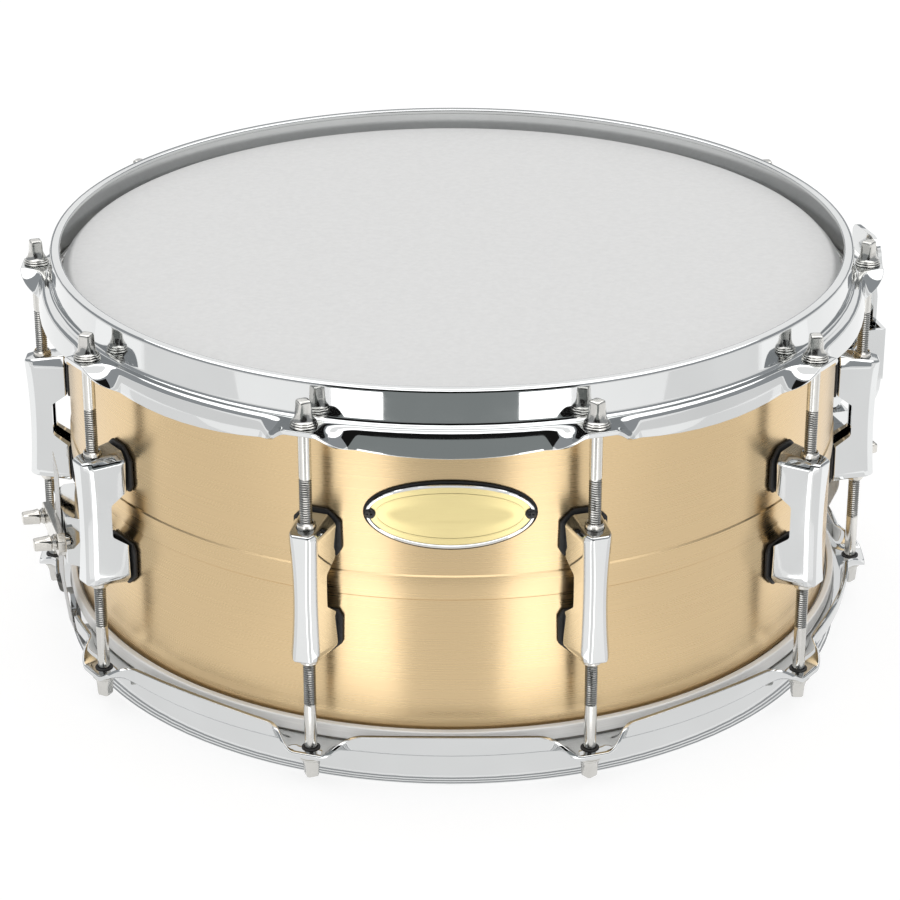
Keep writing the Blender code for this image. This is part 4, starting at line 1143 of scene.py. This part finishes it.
def make_clamp_screws():
    mesh = clamp_screw_mesh()
    for kind, angle in STATIONS.items():
        for label in ("left", "right"):
            node = f"{kind}_clamp_screw_{label}"
            low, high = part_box(node)
            centre = (low + high) / 2
            across = copysign(CLAMP_SPACING / 2, (about_axis(-angle) @ centre).x)
            seat = Matrix.Translation((across, -CLAMP_SEATS[kind], centre.z))
            matrix = about_axis(angle) @ seat @ FACE_OUT
            dress(show(node + "_bolt", mesh, matrix), CLAMP_BODIES[kind], "steel", node)


def make_knob():
    """A knurled knob with a dished top, on its shaft."""
    low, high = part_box("strainer_knob")
    centre = (low + high) / 2
    seat = high.z - KNOB_HEIGHT
    rings = []
    for radius, height, knurl in KNOB_LEVELS:
        ring = []
        for step in range(KNOB_POINTS):
            turn = 2 * pi * step / KNOB_POINTS
            size = radius - knurl * (step % KNURL_SPACING == 0)
            ring.append((centre.x + size * cos(turn), centre.y + size * sin(turn), seat + height))
        rings.append(ring)
    bm = bmesh.new()
    skin(bm, rings)
    end = low.z - seat
    shaft = [(0.0, KNOB_SHAFT_TOP), (KNOB_SHAFT, KNOB_SHAFT_TOP), (KNOB_SHAFT, end + KNOB_SHAFT_BEVEL),
             (KNOB_SHAFT - KNOB_SHAFT_BEVEL, end), (0.0, end)]
    revolve(bm, shaft, SHANK_STEPS, closed=False, centre=Vector((centre.x, centre.y, seat)))
    dress(piece("strainer_knob_grip", bm, "chrome", SCREW_SHARP), "knob", "chrome", "strainer_knob")


def make_mechanism():
    for solid in ROUNDED_SOLIDS:
        refine(*solid)
    make_clamp_screws()
    make_knob()


# Studio

def hide_card(obj):
    for ray in ("camera", "diffuse", "shadow", "transmission"):
        setattr(obj, "visible_" + ray, False)


def card(name, corners, light, angle=0.0):
    """A flat card near the drum that only shows in its reflections."""
    bm = bmesh.new()
    bm.faces.new([bm.verts.new(corner) for corner in corners])
    hide_card(piece(name, bm, light, matrix=about_axis(angle)))


def wall_card(name, half, heights, depth, light, angle=0.0):
    """An upright card at a depth in front of the drum, or as far out at another angle."""
    low, high = heights
    card(name, [(-half, -depth, low), (half, -depth, low), (half, -depth, high), (-half, -depth, high)],
         light, angle)


def floor_card(name, outline, light, side=1):
    """A card over the floor in front of the drum, or mirrored where the side is -1."""
    card(name, [(side * across, -forwards, CARD_LIFT) for across, forwards in outline], light)


def ring_card(name, radii, light, height=CARD_LIFT):
    """A level ring round the drum's axis, on the floor unless a height is given."""
    bm = bmesh.new()
    revolve(bm, [(radius, height) for radius in radii], CARD_STEPS, closed=False)
    hide_card(piece(name, bm, light))


def make_world():
    world = bpy.data.worlds.new("studio")
    world.use_nodes = True
    fill(world.node_tree.nodes["Background"], {"Color": (1.0, 1.0, 1.0, 1.0), "Strength": 1.0})
    bpy.context.scene.world = world


def make_floor():
    bm = bmesh.new()
    level = Matrix.Translation((0, 0, FLOOR_LEVEL))
    bmesh.ops.create_grid(bm, x_segments=1, y_segments=1, size=FLOOR_SIZE, matrix=level)
    piece("studio_floor", bm, "floor")


def make_cards():
    for label, sizes in FRONT_CARDS.items():
        wall_card("front_card_" + label, *sizes)
    floor_card("floor_front", FLOOR_FRONT, "dim")
    for label, side in SIDES:
        for kind, (outline, light) in FLOOR_SIDES.items():
            floor_card(f"floor_{kind}_{label}", outline, light, side)
    half = HORIZON_RADIUS * tan(pi / HORIZON_CARDS)
    for step in range(HORIZON_CARDS):
        turn = 360.0 * (step + 0.5) / HORIZON_CARDS
        top = HORIZON_TOPS["front" if cos(radians(turn)) > HORIZON_BACK else "back"]
        wall_card(f"horizon_card_{step:02d}", half, (HORIZON_LOW, top), HORIZON_RADIUS, "horizon", turn)
    ring_card("floor_near", FLOOR_NEAR, "dim")
    ring_card("floor_far", FLOOR_FAR, "grey")
    # Painted light: a glowing ring in the gap over the snare side flesh hoop, seen in the shell's reflection
    ring_card("gap_light_ring", GAP_LIGHT_RING, "dim", MIDDLE - FLESH_LOW)
    ring_card("overhead_ring", OVERHEAD_RING, "bright", OVERHEAD_HEIGHT)
    for number, radii in enumerate(SHADE_RINGS):
        ring_card(f"floor_shade_{number}", radii, "shade")


def make_camera():
    """The photograph's viewpoint, found from the drum's own sizes."""
    elevation = radians(CAMERA_ELEVATION)
    azimuth = radians(CAMERA_AZIMUTH)
    centre_x, centre_y = PICTURE_CENTRE
    data = bpy.data.cameras.new("camera")
    data.sensor_width = SENSOR_WIDTH
    data.lens = FOCAL_LENGTH / PICTURE_SIZE * SENSOR_WIDTH
    data.shift_x = (PICTURE_SIZE / 2 - centre_x) / PICTURE_SIZE
    data.shift_y = (centre_y - PICTURE_SIZE / 2) / PICTURE_SIZE
    camera = bpy.data.objects.new("camera", data)
    flat = CAMERA_DISTANCE * cos(elevation)
    height = MIDDLE + CAMERA_DISTANCE * sin(elevation)
    camera.location = polar(azimuth, flat, height)
    camera.rotation_euler = (pi / 2 - elevation, 0, azimuth)
    bpy.context.scene.collection.objects.link(camera)
    bpy.context.scene.camera = camera


def main():
    make_shell()
    make_head("batter_head", 1, "coated_film")
    make_head("snare_head", -1, "clear_film")
    make_flesh_hoop("batter_flesh_hoop", 1)
    make_flesh_hoop("snare_flesh_hoop", -1)
    make_hoops()
    make_rods()
    make_lugs()
    make_badge()
    make_wires()
    make_straps()
    make_mechanism()
    make_world()
    make_floor()
    make_cards()
    make_camera()
    bpy.context.scene.view_settings.view_transform = "Standard"


main()
